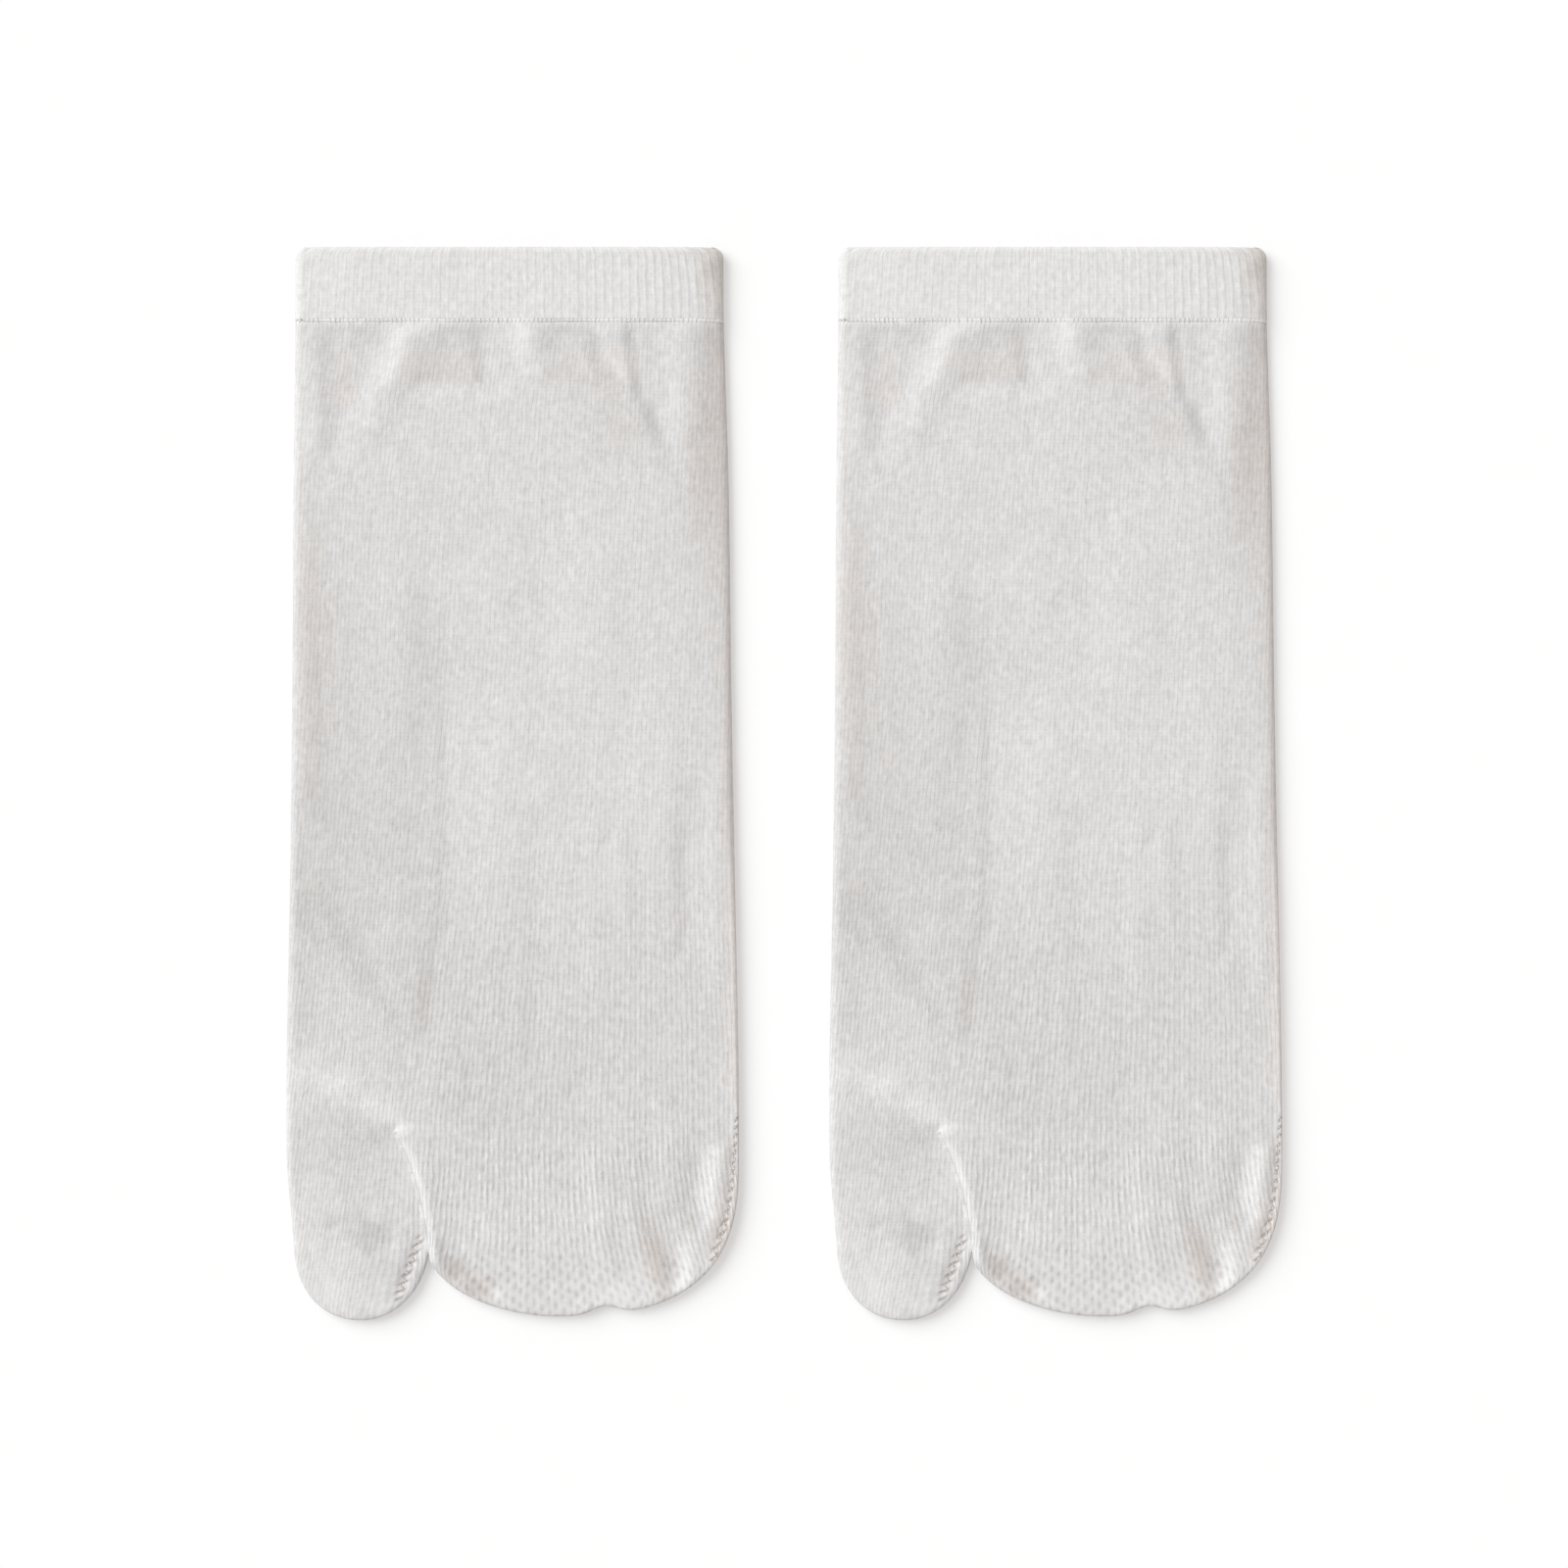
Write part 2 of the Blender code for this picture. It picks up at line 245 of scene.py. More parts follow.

# Painted shade on the cloth, with the warm cast of shade painted alongside: a row for each soft patch. Where
# its shade is below 0, a patch paints light
PAINTED_SHADE_PATCHES = (
    # x, y, reach_x, reach_y, painted_shade, warm_shade
    (-46, 156, 5, 26, 0.03, 0.6),
    (-39, 140, 6, 42, 0.08, 0.2),
    (-45, 88, 8, 42, 0.1, 0.2),
    (-28, 108, 8, 42, 0.06, 0.1),
    (-10, 148, 6, 14, 0.06, 0.1),
    (-9, 74, 14, 32, 0.08, 0.15),
    (26, 68, 26, 28, 0.05, 0.1),
    (4, 40, 26, 22, 0.05, 0.1),
    (51.6, 72, 2.4, 46, -0.15, 0.2),
    (45, 31, 3.4, 7, -0.12, 0),
    (46.5, 23.5, 2.4, 4, -0.2, 0.3),
    (43, 15, 2.4, 3.6, -0.1, 0.3),
    (27, 9, 6, 7, -0.06, 0),
    (47.5, 17, 2.2, 3.6, 0.02, 1),
    (43, 190, 4.5, 18, 0.1, 0.6),
    (25, 200, 8, 8, 0.06, 0.4),
    (-37, 210, 5, 8, 0.06, 0.6),
    (51, 226, 7, 40, 0.06, 1),
    (45.5, 236, 3, 5, 0.12, 0.6),
    (51, 150, 5, 50, 0, 0.8),
    (51, 80, 3, 40, 0, 0.5),
    (-13, 11.5, 3, 3, 0.14, 1),
    (-7.5, 7.5, 4, 3, 0.12, 1),
    (33, 13, 3.4, 7, 0, 0.9),
    (-31.5, 18.8, 6, 2.6, 0.13, 0.4),
    (-41, 38, 8, 8, 0.06, 0.2),
    (-25.5, 44.8, 3.2, 2.8, -0.19, 0),
    (-30.5, 48.5, 4.5, 2.6, -0.16, 0),
    (-38.5, 53, 5.5, 3.2, -0.13, 0),
    (-31, 40.5, 4, 3.2, 0.06, 0.1),
    (-20.5, 36, 3, 7, -0.07, 0),
    (-21, 15, 2.5, 5, -0.09, 0),
    (47, 11, 3, 6, -0.1, 0.2),
    (-28, 5, 5, 5, -0.08, 0),
    (-38, 6, 5, 5, -0.09, 0),
    (-23, 216, 5, 8, -0.09, 0),
    (0.5, 219, 5, 5, -0.08, 0),
    (16, 220, 4, 3, -0.06, 0),
    (34, 220, 3, 3, -0.07, 0),
    (-13, 213, 12, 4, 0.02, 0.6),
    (19, 213, 12, 5, 0.02, 0.6),
    (-19.5, 71, 2.6, 9, 0.05, 0.35),
    (38.5, 98, 3, 12, 0, 0.2),
    (39, 31, 4, 9, 0.07, 0.2),
    (41, 22.5, 2, 3, 0.08, 0.4),
    (30.5, 18, 2.8, 4.5, 0.03, 0.5),
    (40.5, 10, 3, 4.5, -0.12, 0),
    (22, 6, 14, 4.5, -0.08, 0),
    (-25, 211, 4, 5, -0.07, 0),
    (-31, 203, 3, 4, -0.06, 0),
    (-9, 219, 3, 4, 0.06, 0.2),
    (23, 219, 4, 4, -0.07, 0),
    (-18, 220, 3, 4, -0.1, 0),
    (8, 212, 4, 4, -0.06, 0),
    (-17, 170, 4, 8, -0.06, 0),
    (-42, 22, 7, 10, 0.04, 0),
    (49.5, 18, 3, 14, 0, 0.8),
)

# Painted shade in faint diagonal bands across the instep: a row for each
SHADE_BANDS = (
    # x_from, y_from, x_to, y_to, half_width, painted_shade
    (-47, 99, -36, 85, 2.2, 0.06),
    (-36, 85, -27, 69.5, 2.4, 0.06),
    (-46.5, 94, -43, 84, 2, 0.05),
    (-44, 118, -30, 104, 2.6, 0.03),
)

# The side seams of the toe pockets: where their needle holes run, with painted shade in them
GORES = (
    # x_from, y_from, x_to, y_to, width
    (-20, 18.2, -24.9, 5.2, 1.15),
    (50.9, 46, 49.7, 30, 0.5),
    (49.7, 30, 48.5, 22.5, 0.6),
    (48.5, 22.5, 45.5, 14, 1),
)

# How much a fold's slope lifts or lowers the cloth for its size
SLOPE_GAIN = 1.4

# The small unevenness of the cloth: how long its waves are across and along the wales, and how high
SEEDS = {"left": 3.1, "right": 8.6}
WAVES = ((14, 30, 0.16), (5, 9, 0.07), (2.2, 3, 0.035))

# Near the seam the body rises towards the thicker cuff, and the seam holds its folds flat
SEAM_LIFT = 1
SEAM_LIFT_REACH = 5
SEAM_HOLD = 0.8
SEAM_HOLD_REACH = 2.4

# How the open ends round over, and how far down
HEM_ROUND = 0.2
BODY_HEM_REACH = 1.2
MOUTH_ROUND = 1
MOUTH_ROUND_REACH = 1.3
MOUTH_INSET = 0.02

# What is above this height is the top layer
TOP_LAYER_HEIGHT = 1.2

# The stitches: LINK_SUNK is how deep a link's points lie, and LINK_BELOW its place above seam and floor
LINK_YARN = 0.66
LINK_INSET = 1.2
LINK_REACH = 0.9
LINK_SUNK = (0.34, 0.25, 0.22, 0.25, 0.34)
LINK_BELOW = ((0.8, 0.5), (0.3, 0.32), (-0.3, 0.32), (-0.8, 0.5))
CORD = 1.2
CORD_DEPTH = 0.52
GORE_YARN = 0.46
GORE_STITCH = 1.75
GORE_RISE = (-0.16, 0.03, 0.03, -0.16)
TUBE_SIDES = 6
TUBE_TAPER = 0.55
SEAM_TURN = 2.2
SEAM_TURN_STEPS = 9

# The materials: what each point of a mesh tells them, colours in linear light, bump depths, and the courses
# from one row of holes to the next
# Of the TONES, the second sets how strong the painted shade between the wales is, the third is painted shade,
# and painted light where below 0, the fourth is the painted warm cast of shade, and the last places the
# painted shade of the needle holes
TONES = ("loose", "clear", "painted_shade", "warm_shade", "gore")
KNIT_COLOUR = (0.588, 0.579, 0.578)
CUFF_COLOUR = (0.625, 0.618, 0.614)
YARN_COLOUR = (0.7, 0.69, 0.68)
# The colour of the painted shade in the needle holes
HOLE_SHADE_COLOUR = (0.4, 0.345, 0.315)
# A warm cast, painted into shade and laid on at random as the yarn's own warmer tone
WARM_SHADE_AND_YARN_TINT = (0.99, 0.938, 0.902)
FLOOR_COLOUR = (0.535, 0.531, 0.53)
FLOOR_GLOW = 0.345
SPECULAR = 0.2
KNIT_DEPTH = 0.026
YARN_DEPTH = 0.04
MESH_COURSES = 3.8
HOLE_COURSES = 2.25

# The studio
CAMERA_LENS = 100
CAMERA_FILM = 36
VIEW_WIDTH = 349.8
KEY_FROM = (-0.95, 0.62, 0.97)
KEY_STRENGTH = 2.96
KEY_ANGLE = 50
KEY_COLOUR = (0.94, 0.98, 1)
SKY_COLOUR = (1, 0.972, 0.95)
SKY_STRENGTH = 0.64
FLOOR_SIZE = 6
FLOOR_DROP = 0.05


def side_x(y, side):
    """Where a side fold lies at each height, on a smooth curve through the rows of SIDES."""
    y = np.asarray(y, float)
    heights = np.array([row[0] for row in SIDES][::-1])
    places = np.array([row[1 + side] for row in SIDES][::-1])
    slopes = np.gradient(places, heights)
    at = np.clip(np.searchsorted(heights, y) - 1, 0, len(heights) - 2)
    span = heights[at + 1] - heights[at]
    t = (y - heights[at]) / span
    start = (1 + 2 * t) * (1 - t) ** 2 * places[at] + t * (1 - t) ** 2 * span * slopes[at]
    end = t * t * (3 - 2 * t) * places[at + 1] - t * t * (1 - t) * span * slopes[at + 1]
    return start + end


def rows_of(*parts):
    """A table from its columns, such as points from their coordinates."""
    return np.column_stack(parts)


def side_line(y, side, inset=0):
    """Points down a side at these heights, moved inwards by an inset."""
    return rows_of(side_x(y, side) + (1 - 2 * side) * inset, y)


def cleft_line():
    """The middle of the cleft from its top down: it leans over at its top and then straightens."""
    y = np.linspace(CLEFT_TOP[1], min(BIG_TOE_SHOULDER, FOUR_TOE_SHOULDERS[0]), CURVE_STEPS)
    down = (CLEFT_TOP[1] - y) / CLEFT_DEPTH
    x = CLEFT_TOP[0] + CLEFT_RUN * (1 - np.exp(-down / CLEFT_BEND)) / (1 - math.exp(-1 / CLEFT_BEND))
    return rows_of(x, y)


def beside_cleft(points):
    """How far each point lies to the right of the cleft's middle."""
    line = cleft_line()[::-1]
    return points[:, 0] - np.interp(points[:, 1], line[:, 1], line[:, 0])


def outward(line):
    """The directions out of the cloth along an edge that has the cloth on its left."""
    tangents = np.gradient(line, axis=0)
    tangents /= np.linalg.norm(tangents, axis=1)[:, None]
    return rows_of(tangents[:, 1], -tangents[:, 0])


def round_end(start, end, middle, tip, powers):
    """The end of a toe pocket, from one side round its tip to the other: two quarters of a superellipse."""
    angles = np.linspace(0, math.pi / 2, CURVE_STEPS + 1)
    quarters = []
    for corner, power, turn in zip((start, end), powers, (angles, angles[::-1])):
        x = middle + (corner[0] - middle) * np.cos(turn) ** (2 / power)
        y = corner[1] - (corner[1] - tip) * np.sin(turn) ** (2 / power)
        quarters.append(rows_of(x, y))
    return np.concatenate([quarters[0], quarters[1][1:]])


def cleft_sides():
    """The two edges of the cleft from its top down, with the turns that join them at the top."""
    middle = cleft_line()
    aside = outward(middle) * CLEFT_GAP / 2
    sides = []
    for sign in (1, -1):
        start = math.atan2(sign * aside[0, 1], sign * aside[0, 0]) % (2 * math.pi)
        turn = np.linspace(math.pi / 2, start, CAP_STEPS)
        cap = middle[0] + CLEFT_GAP / 2 * rows_of(np.cos(turn), np.sin(turn))
        sides.append(np.concatenate([cap[:-1], middle + sign * aside]))
    return sides


def big_toe_edge():
    """From the left side at the foot row, round the big toe and up the cleft."""
    left = side_line(np.linspace(FOOT, BIG_TOE_SHOULDER, CURVE_STEPS), 0)
    right = cleft_sides()[0]
    right = right[right[:, 1] > BIG_TOE_SHOULDER]
    end = round_end(left[-1], right[-1], BIG_TOE_MIDDLE, BIG_TOE_TIP, BIG_TOE_POWERS)
    return np.concatenate([left[:-1], end, right[-2::-1]])


def four_toe_edge():
    """From the top of the cleft, down it, round the four toes and up the right side to the foot row."""
    left = cleft_sides()[1]
    right = side_line(np.linspace(FOUR_TOE_SHOULDERS[1], FOOT, CURVE_STEPS // 4), 1)
    end = round_end(left[-1], right[0], FOUR_TOE_MIDDLE, FOUR_TOE_TIP, FOUR_TOE_POWERS)
    end[:, 1] += TOE_DIP * np.exp(-(((end[:, 0] - TOE_DIP_X) / TOE_DIP_WIDTH) ** 2))
    return np.concatenate([left[:-1], end, right[1:]])


def resampled(table, count):
    """The rows of a table that starts with a place in plan, in a number of steps of equal length."""
    lengths = np.linalg.norm(np.diff(table[:, :2], axis=0), axis=1)
    along = np.concatenate([[0], np.cumsum(lengths)])
    wanted = np.linspace(0, along[-1], count + 1)
    return rows_of(*[np.interp(wanted, along, column) for column in table.T])


def pocket_edge(line, corners, columns):
    """A toe pocket's edge moved in by the fold's radius, and the directions out of the cloth along it.

    It runs down one side, round the end and up the other side, in even steps in each of the three.
    """
    turns = outward(line)
    table = np.hstack([line - turns * FOLD_RADIUS["body"], turns])
    lowest = int(np.argmin(table[:, 1]))
    first = int(np.argmin(np.abs(table[:lowest, 1] - corners[0])))
    last = lowest + int(np.argmin(np.abs(table[lowest:, 1] - corners[1])))
    pieces = []
    for start, end, count in ((0, first, TOE_ROWS), (first, last, columns), (last, len(table) - 1, TOE_ROWS)):
        pieces.append(resampled(table[start : end + 1], count)[min(start, 1) :])
    whole = np.concatenate(pieces)
    return whole[:, :2], whole[:, 2:] / np.linalg.norm(whole[:, 2:], axis=1)[:, None]


def patch(top, bottom, left, right):
    """A grid of points spread evenly between four edges, in rows from the top to the bottom."""
    u = np.linspace(0, 1, len(top))[None, :, None]
    v = np.linspace(0, 1, len(left))[:, None, None]
    across = (1 - u) * left[:, None] + u * right[:, None]
    down = (1 - v) * top[None] + v * bottom[None]
    corners = (1 - v) * ((1 - u) * top[0] + u * top[-1]) + v * ((1 - u) * bottom[0] + u * bottom[-1])
    return across + down - corners


def smooth_step(value):
    value = np.clip(value, 0, 1)
    return value * value * (3 - 2 * value)


class Plan:
    """One knitted piece from above: its points, which wale each is in, and the grids of faces between them.

    Chains are the lines of points along its folds, with the directions out of the cloth. Mouths are the rows
    along its open ends. The outline runs down its left side and up its right.
    """

    def __init__(self, top):
        self.top = top
        self.points = np.zeros((0, 2))
        self.wales = np.zeros(0)
        self.grids = []
        self.chains = []
        self.mouths = []
        self.outline = None

    def add_grid(self, points, wales, top_row=None):
        skip = 0 if top_row is None else 1
        rows, columns = points.shape[:2]
        grid = np.arange((rows - skip) * columns).reshape(rows - skip, columns) + len(self.points)
        if top_row is not None:
            grid = np.vstack([top_row, grid])
        self.points = np.concatenate([self.points, points[skip:].reshape(-1, 2)])
        self.wales = np.concatenate([self.wales, wales[skip:].ravel()])
        self.grids.append(grid)
        return grid

    def knit(self):
        """Where each point is in the knit: across in wales and down in courses."""
        return rows_of(self.wales, (self.top - self.points[:, 1]) / COURSE)


def drift(x, y):
    """How far the wales have drifted to the left at each point, in wales."""
    heights = DRIFT_HEIGHTS[::-1]
    left = np.interp(y, heights, DRIFT_LEFT[::-1])
    right = np.interp(y, heights, DRIFT_RIGHT[::-1])
    share = smooth_step((x - DRIFT_MIDDLE + DRIFT_BLEND) / (2 * DRIFT_BLEND))
    big_toe = np.clip((56 - y) / 56, 0, 1) ** 1.5 * smooth_step((-19 - x) / 16)
    return left + (right - left) * share + BIG_TOE_DRIFT * big_toe


def pocket_wales(points, first, count):
    """The wales of a toe pocket, carried on from its upper row. Those of the four toes fan out."""
    x = points[..., 0]
    low, high = x[0, 0], x[0, -1]
    if first > 0:
        fan = np.exp(FAN * np.clip((CLEFT_TOP[1] - points[..., 1]) / CLEFT_TOP[1], 0, 1.1) ** 2)
        x = FAN_MIDDLE + (x - FAN_MIDDLE) / fan
    return first + count * (x - low) / (high - low) + drift(points[..., 0], points[..., 1])


def two_runs(start, middle, end):
    """Even steps over the big toe's columns, and on over those of the four toes."""
    run = np.linspace(middle, end, FOUR_TOE_COLUMNS + 1)[1:]
    return np.concatenate([np.linspace(start, middle, BIG_TOE_COLUMNS + 1), run])


def body_wales(points):
    """The wales of the leg and foot: even at the top, and shared out between the toes at the foot row."""
    down = smooth_step(np.linspace(0, 1, BODY_ROWS + 1))[:, None]
    even = np.linspace(0, ALL_WALES, BIG_TOE_COLUMNS + FOUR_TOE_COLUMNS + 1)
    split = two_runs(0, BIG_TOE_WALES, ALL_WALES)
    return (1 - down) * even + down * split + drift(points[..., 0], points[..., 1])


def add_pocket(plan, top_row, edge, first_wale, count):
    """A toe pocket between the row above it and its edge. Gives the points along the edge."""
    corner = TOE_ROWS + len(top_row) - 1
    end = edge[TOE_ROWS : corner + 1]
    points = patch(plan.points[top_row], end, edge[: TOE_ROWS + 1], edge[: corner - 1 : -1])
    grid = plan.add_grid(points, pocket_wales(points, first_wale, count), top_row)
    return [*grid[1:, 0], *grid[-1, 1:-1], *grid[::-1, -1]]


def body_plan():
    """The body: one block down to the cleft, and the two toe pockets below it."""
    heights = np.linspace(BODY_TOP, FOOT, BODY_ROWS + 1)
    left = side_line(heights, 0, FOLD_RADIUS["body"])
    right = side_line(heights, 1, FOLD_RADIUS["body"])
    lines = [big_toe_edge(), four_toe_edge()]
    big, big_turns = pocket_edge(lines[0], BIG_TOE_CORNERS, BIG_TOE_COLUMNS)
    four, four_turns = pocket_edge(lines[1], FOUR_TOE_CORNERS, FOUR_TOE_COLUMNS)
    four[0] = big[-1]
    big[0] = left[-1]
    four[-1] = right[-1]

    plan = Plan(BODY_TOP)
    foot_row = two_runs(left[-1], big[-1], right[-1])
    block = patch(np.linspace(left[0], right[0], len(foot_row)), foot_row, left, right)
    body = plan.add_grid(block, body_wales(block))
    chain = list(body[:, 0])
    chain += add_pocket(plan, body[-1, : BIG_TOE_COLUMNS + 1], big, 0, BIG_TOE_WALES)
    chain += add_pocket(plan, body[-1, BIG_TOE_COLUMNS:], four, BIG_TOE_WALES, FOUR_TOE_WALES)
    chain += list(body[-2::-1, -1])

    level = np.tile((1, 0), (BODY_ROWS, 1))
    plan.chains = [(np.array(chain), np.concatenate([-level, big_turns, four_turns[1:], level]))]
    plan.mouths = [body[0]]
    y = np.linspace(BODY_TOP, FOOT, SIDE_STEPS)
    toes = [resampled(line, TOE_STEPS) for line in lines]
    plan.outline = np.concatenate([side_line(y, 0), *toes, side_line(y, 1)[::-1]])
    return plan


def cuff_plan():
    """The cuff: a band with its two upper corners rounded, its rows closest at its two open ends."""
    radius = FOLD_RADIUS["cuff"]
    even = np.linspace(1, 0, CUFF_ROWS + 1)
    crowded = (1 + np.cos(np.linspace(0, math.pi, CUFF_ROWS + 1))) / 2
    heights = CUFF_BOTTOM + (SOCK_LENGTH - MOUTH_INSET - CUFF_BOTTOM) * (0.55 * crowded + 0.45 * even)
    over = np.maximum(0, heights - (SOCK_LENGTH - CUFF_CORNER))
    cut = CUFF_CORNER - np.sqrt(CUFF_CORNER**2 - over**2)
    left = side_line(heights, 0, cut) + (radius, 0)
    right = side_line(heights, 1, cut) - (radius, 0)
    top, seam = (np.linspace(left[row], right[row], CUFF_COLUMNS + 1) for row in (0, -1))
    block = patch(top, seam, left, right)
    plan = Plan(SOCK_LENGTH)
    wales = np.linspace(0, ALL_WALES, CUFF_COLUMNS + 1) + cuff_fan(block[..., 0], block[..., 1])
    grid = plan.add_grid(block, wales)
    level = np.tile((1, 0), (len(grid), 1))
    plan.chains = [(grid[:, 0], -level), (grid[::-1, -1], level)]
    plan.mouths = [grid[0], grid[-1]]
    y = np.linspace(heights[0], heights[-1], CUFF_STEPS)
    edges = left[:, 0] - radius, right[:, 0] + radius
    edges = [rows_of(np.interp(y, heights[::-1], edge[::-1]), y) for edge in edges]
    plan.outline = np.concatenate([edges[0], edges[1][::-1]])
    return plan


def cuff_fan(x, y):
    """How the cuff's wales lean: to the left on its left, and apart towards the upper right corner."""
    up = (y - SEAM) / CUFF_HEIGHT
    return 1.1 * (1 - up) * smooth_step((8 - x) / 50) + 1.6 * up**2 * smooth_step((x - 26) / 20)


def place_on_line(x, y, row):
    """How far each point is to the left of a row's line, and how far past its ends."""
    x_from, y_from, x_to, y_to = row[:4]
    length = math.hypot(x_to - x_from, y_to - y_from)
    along_x = (x_to - x_from) / length
    along_y = (y_to - y_from) / length
    along = (x - x_from) * along_x + (y - y_from) * along_y
    aside = (y - y_from) * along_x - (x - x_from) * along_y
    return aside, np.maximum(0, np.maximum(-along, along - length))


def line_share(points, row):
    """From 0 to 1, how near each point is to a row's line, which has a soft width."""
    aside, past = place_on_line(points[:, 0], points[:, 1], row)
    return np.exp(-(aside**2 + past**2) / row[4] ** 2)


def folds_at(x, y):
    """How far the folds lift or lower the top layer at each point."""
    total = np.zeros_like(x)
    for row in FOLDS:
        half_width, rise, slope = row[4:]
        aside, past = place_on_line(x, y, row)
        fall = np.exp(-(aside**2 + past**2) / half_width**2)
        total += (rise - slope * aside / half_width * SLOPE_GAIN) * fall
    return total


def waves_at(x, y, seed):
    """The small unevenness of the cloth, longer along the wales than across them."""
    total = np.zeros_like(x)
    for number, (across, along, height) in enumerate(WAVES):
        place = [
            noise.noise(Vector((px / across + seed, py / along, 7.3 * number + seed)))
            for px, py in zip(x.ravel(), y.ravel())
        ]
        total += height * np.array(place).reshape(x.shape)
    return total


def near_rows(points, rows):
    """For each row, which starts with a place and its reach, how near each point is, from 0 to 1."""
    x, y = points.T
    return [np.exp(-(((x - row[0]) / row[2]) ** 2) - ((y - row[1]) / row[3]) ** 2) for row in rows]


def shoulder_at(points):
    """For points of the outline, how much of the edge's drop is a slope, and how wide it is."""
    weight = np.full(len(points), PLAIN_SHOULDER_WEIGHT)
    share = weight * PLAIN_SHOULDER[0]
    width = weight * PLAIN_SHOULDER[1]
    for near, row in zip(near_rows(points, SHOULDERS), SHOULDERS):
        share += near * row[4]
        width += near * row[5]
        weight += near
    return share / weight, width / weight


class Relief:
    """The height of a piece's top layer, from its outline inwards."""

    def __init__(self, plan, kind, seed):
        self.kind = kind
        self.seed = seed
        self.radius = FOLD_RADIUS[kind]
        self.tree = KDTree(len(plan.outline))
        for number, point in enumerate(plan.outline):
            self.tree.insert((*point, 0), number)
        self.tree.balance()
        self.share, self.width = shoulder_at(plan.outline)

    def inside(self, points):
        """For each point, how far it is inside the outline and which point of the outline is nearest."""
        found = [self.tree.find((*point, 0)) for point in points]
        return np.array([item[2] for item in found]), np.array([item[1] for item in found])

    def crest(self, points, far):
        """The top layer's height well inside the outline."""
        x, y = points.T
        share = 1 - np.exp(-((np.maximum(far - self.radius, 0) / CROWN_REACH) ** 2))
        edge = 1 - np.exp(-((far / EDGE_REACH) ** 2))
        waves = waves_at(x, y, self.seed)
        if self.kind == "cuff":
            return CUFF_EDGE_HEIGHT + share * CROWN + edge * waves
        lip = LIP_RISE * self.cleft_share(points, 1, LIP_SPREAD)
        sink = TUCK_SINK * self.cleft_share(points, -1, TUCK_SPREAD)
        toes = 1 / (1 + np.exp((y - CLEFT_TOP[1]) / CROWN_REACH))
        crown = CROWN + (TOE_CROWN - CROWN) * toes
        to_cuff = SEAM - y
        lift = SEAM_LIFT * np.exp(-((to_cuff / SEAM_LIFT_REACH) ** 2))
        held = 1 - SEAM_HOLD * np.exp(-((to_cuff / SEAM_HOLD_REACH) ** 2))
        uneven = held * (folds_at(x, y) + waves)
        return BODY_EDGE_HEIGHT + share * crown + lift + lip - sink + edge * uneven

    def at(self, points, far=None):
        """The top layer's height: its crest, less the drop of the round fold and the shoulder."""
        measured, nearest = self.inside(points)
        far = measured if far is None else far
        crest = self.crest(points, far)
        boxed = self.boxed(points)
        share = self.share[nearest] * (1 - boxed)
        power = 2 + 4 * boxed
        fold = 1 - (1 - (1 - np.clip(far / self.radius, 0, 1)) ** power) ** (1 / power)
        slope = (1 - np.clip(far / self.width[nearest], 0, 1)) ** 2
        drop = (1 - share) * fold + share * slope
        rim = (1 - np.clip(far / LIP_WIDTH, 0, 1)) ** 1.2
        lip = self.cleft_share(points, 1, LIP_SPREAD)
        height = crest - (crest - self.widest(points)) * ((1 - lip) * drop + lip * rim)
        return height - self.rounding(points[:, 1])

    def rounding(self, y):
        """How the open ends round over."""
        if self.kind == "cuff":
            mouth = 1 - np.clip((SOCK_LENGTH - MOUTH_INSET - y) / MOUTH_ROUND_REACH, 0, 1)
            hem = 1 - np.clip((y - CUFF_BOTTOM) / (2 * HEM_ROUND), 0, 1)
            return MOUTH_ROUND * (1 - np.sqrt(1 - mouth**2)) + HEM_ROUND * (1 - np.sqrt(1 - hem**2))
        hem = 1 - np.clip((BODY_TOP - y) / BODY_HEM_REACH, 0, 1)
        return HEM_ROUND / 2 * hem**2

    def cleft_share(self, points, side, spread=CLEFT_SPREAD):
        """From 0 to 1, how much a point belongs to an edge of the cleft: -1 is the big toe's."""
        y = points[:, 1]
        aside = beside_cleft(points)
        along = smooth_step((CLEFT_TOP[1] + 2 - y) / LAP_START) * smooth_step((y - LAP_END) / LAP_END)
        soft = 0.02 + 1.5 * np.maximum(0, y - CLEFT_TOP[1])
        return np.exp(-((aside / spread) ** 2)) * along * smooth_step((aside * side + 0.6) / soft)

    def boxed(self, points):
        """From 0 to 1, how square the fold is: most at the cleft, less down the right and at the tips."""
        x, y = points.T
        top = smooth_step((4.5 - np.hypot(x - CLEFT_TOP[0], y - CLEFT_TOP[1])) / 2)
        right = 0.45 * smooth_step((112 - y) / 30) + 0.35 * smooth_step((50 - y) / 8)
        right = right * smooth_step((x - 40) / 6)
        tips = 0.45 * smooth_step((14 - y) / 8)
        return np.max([self.cleft_share(points, -1), top, right, tips], axis=0)

    def widest(self, points):
        """The height of the fold's outermost line: at the cleft, the four toes' edge laps over the other."""
        lip = self.cleft_share(points, 1)
        tuck = self.cleft_share(points, -1) * (lip <= 0)
        return self.radius + LIP_HEIGHT * lip - TUCK_DROP * tuck


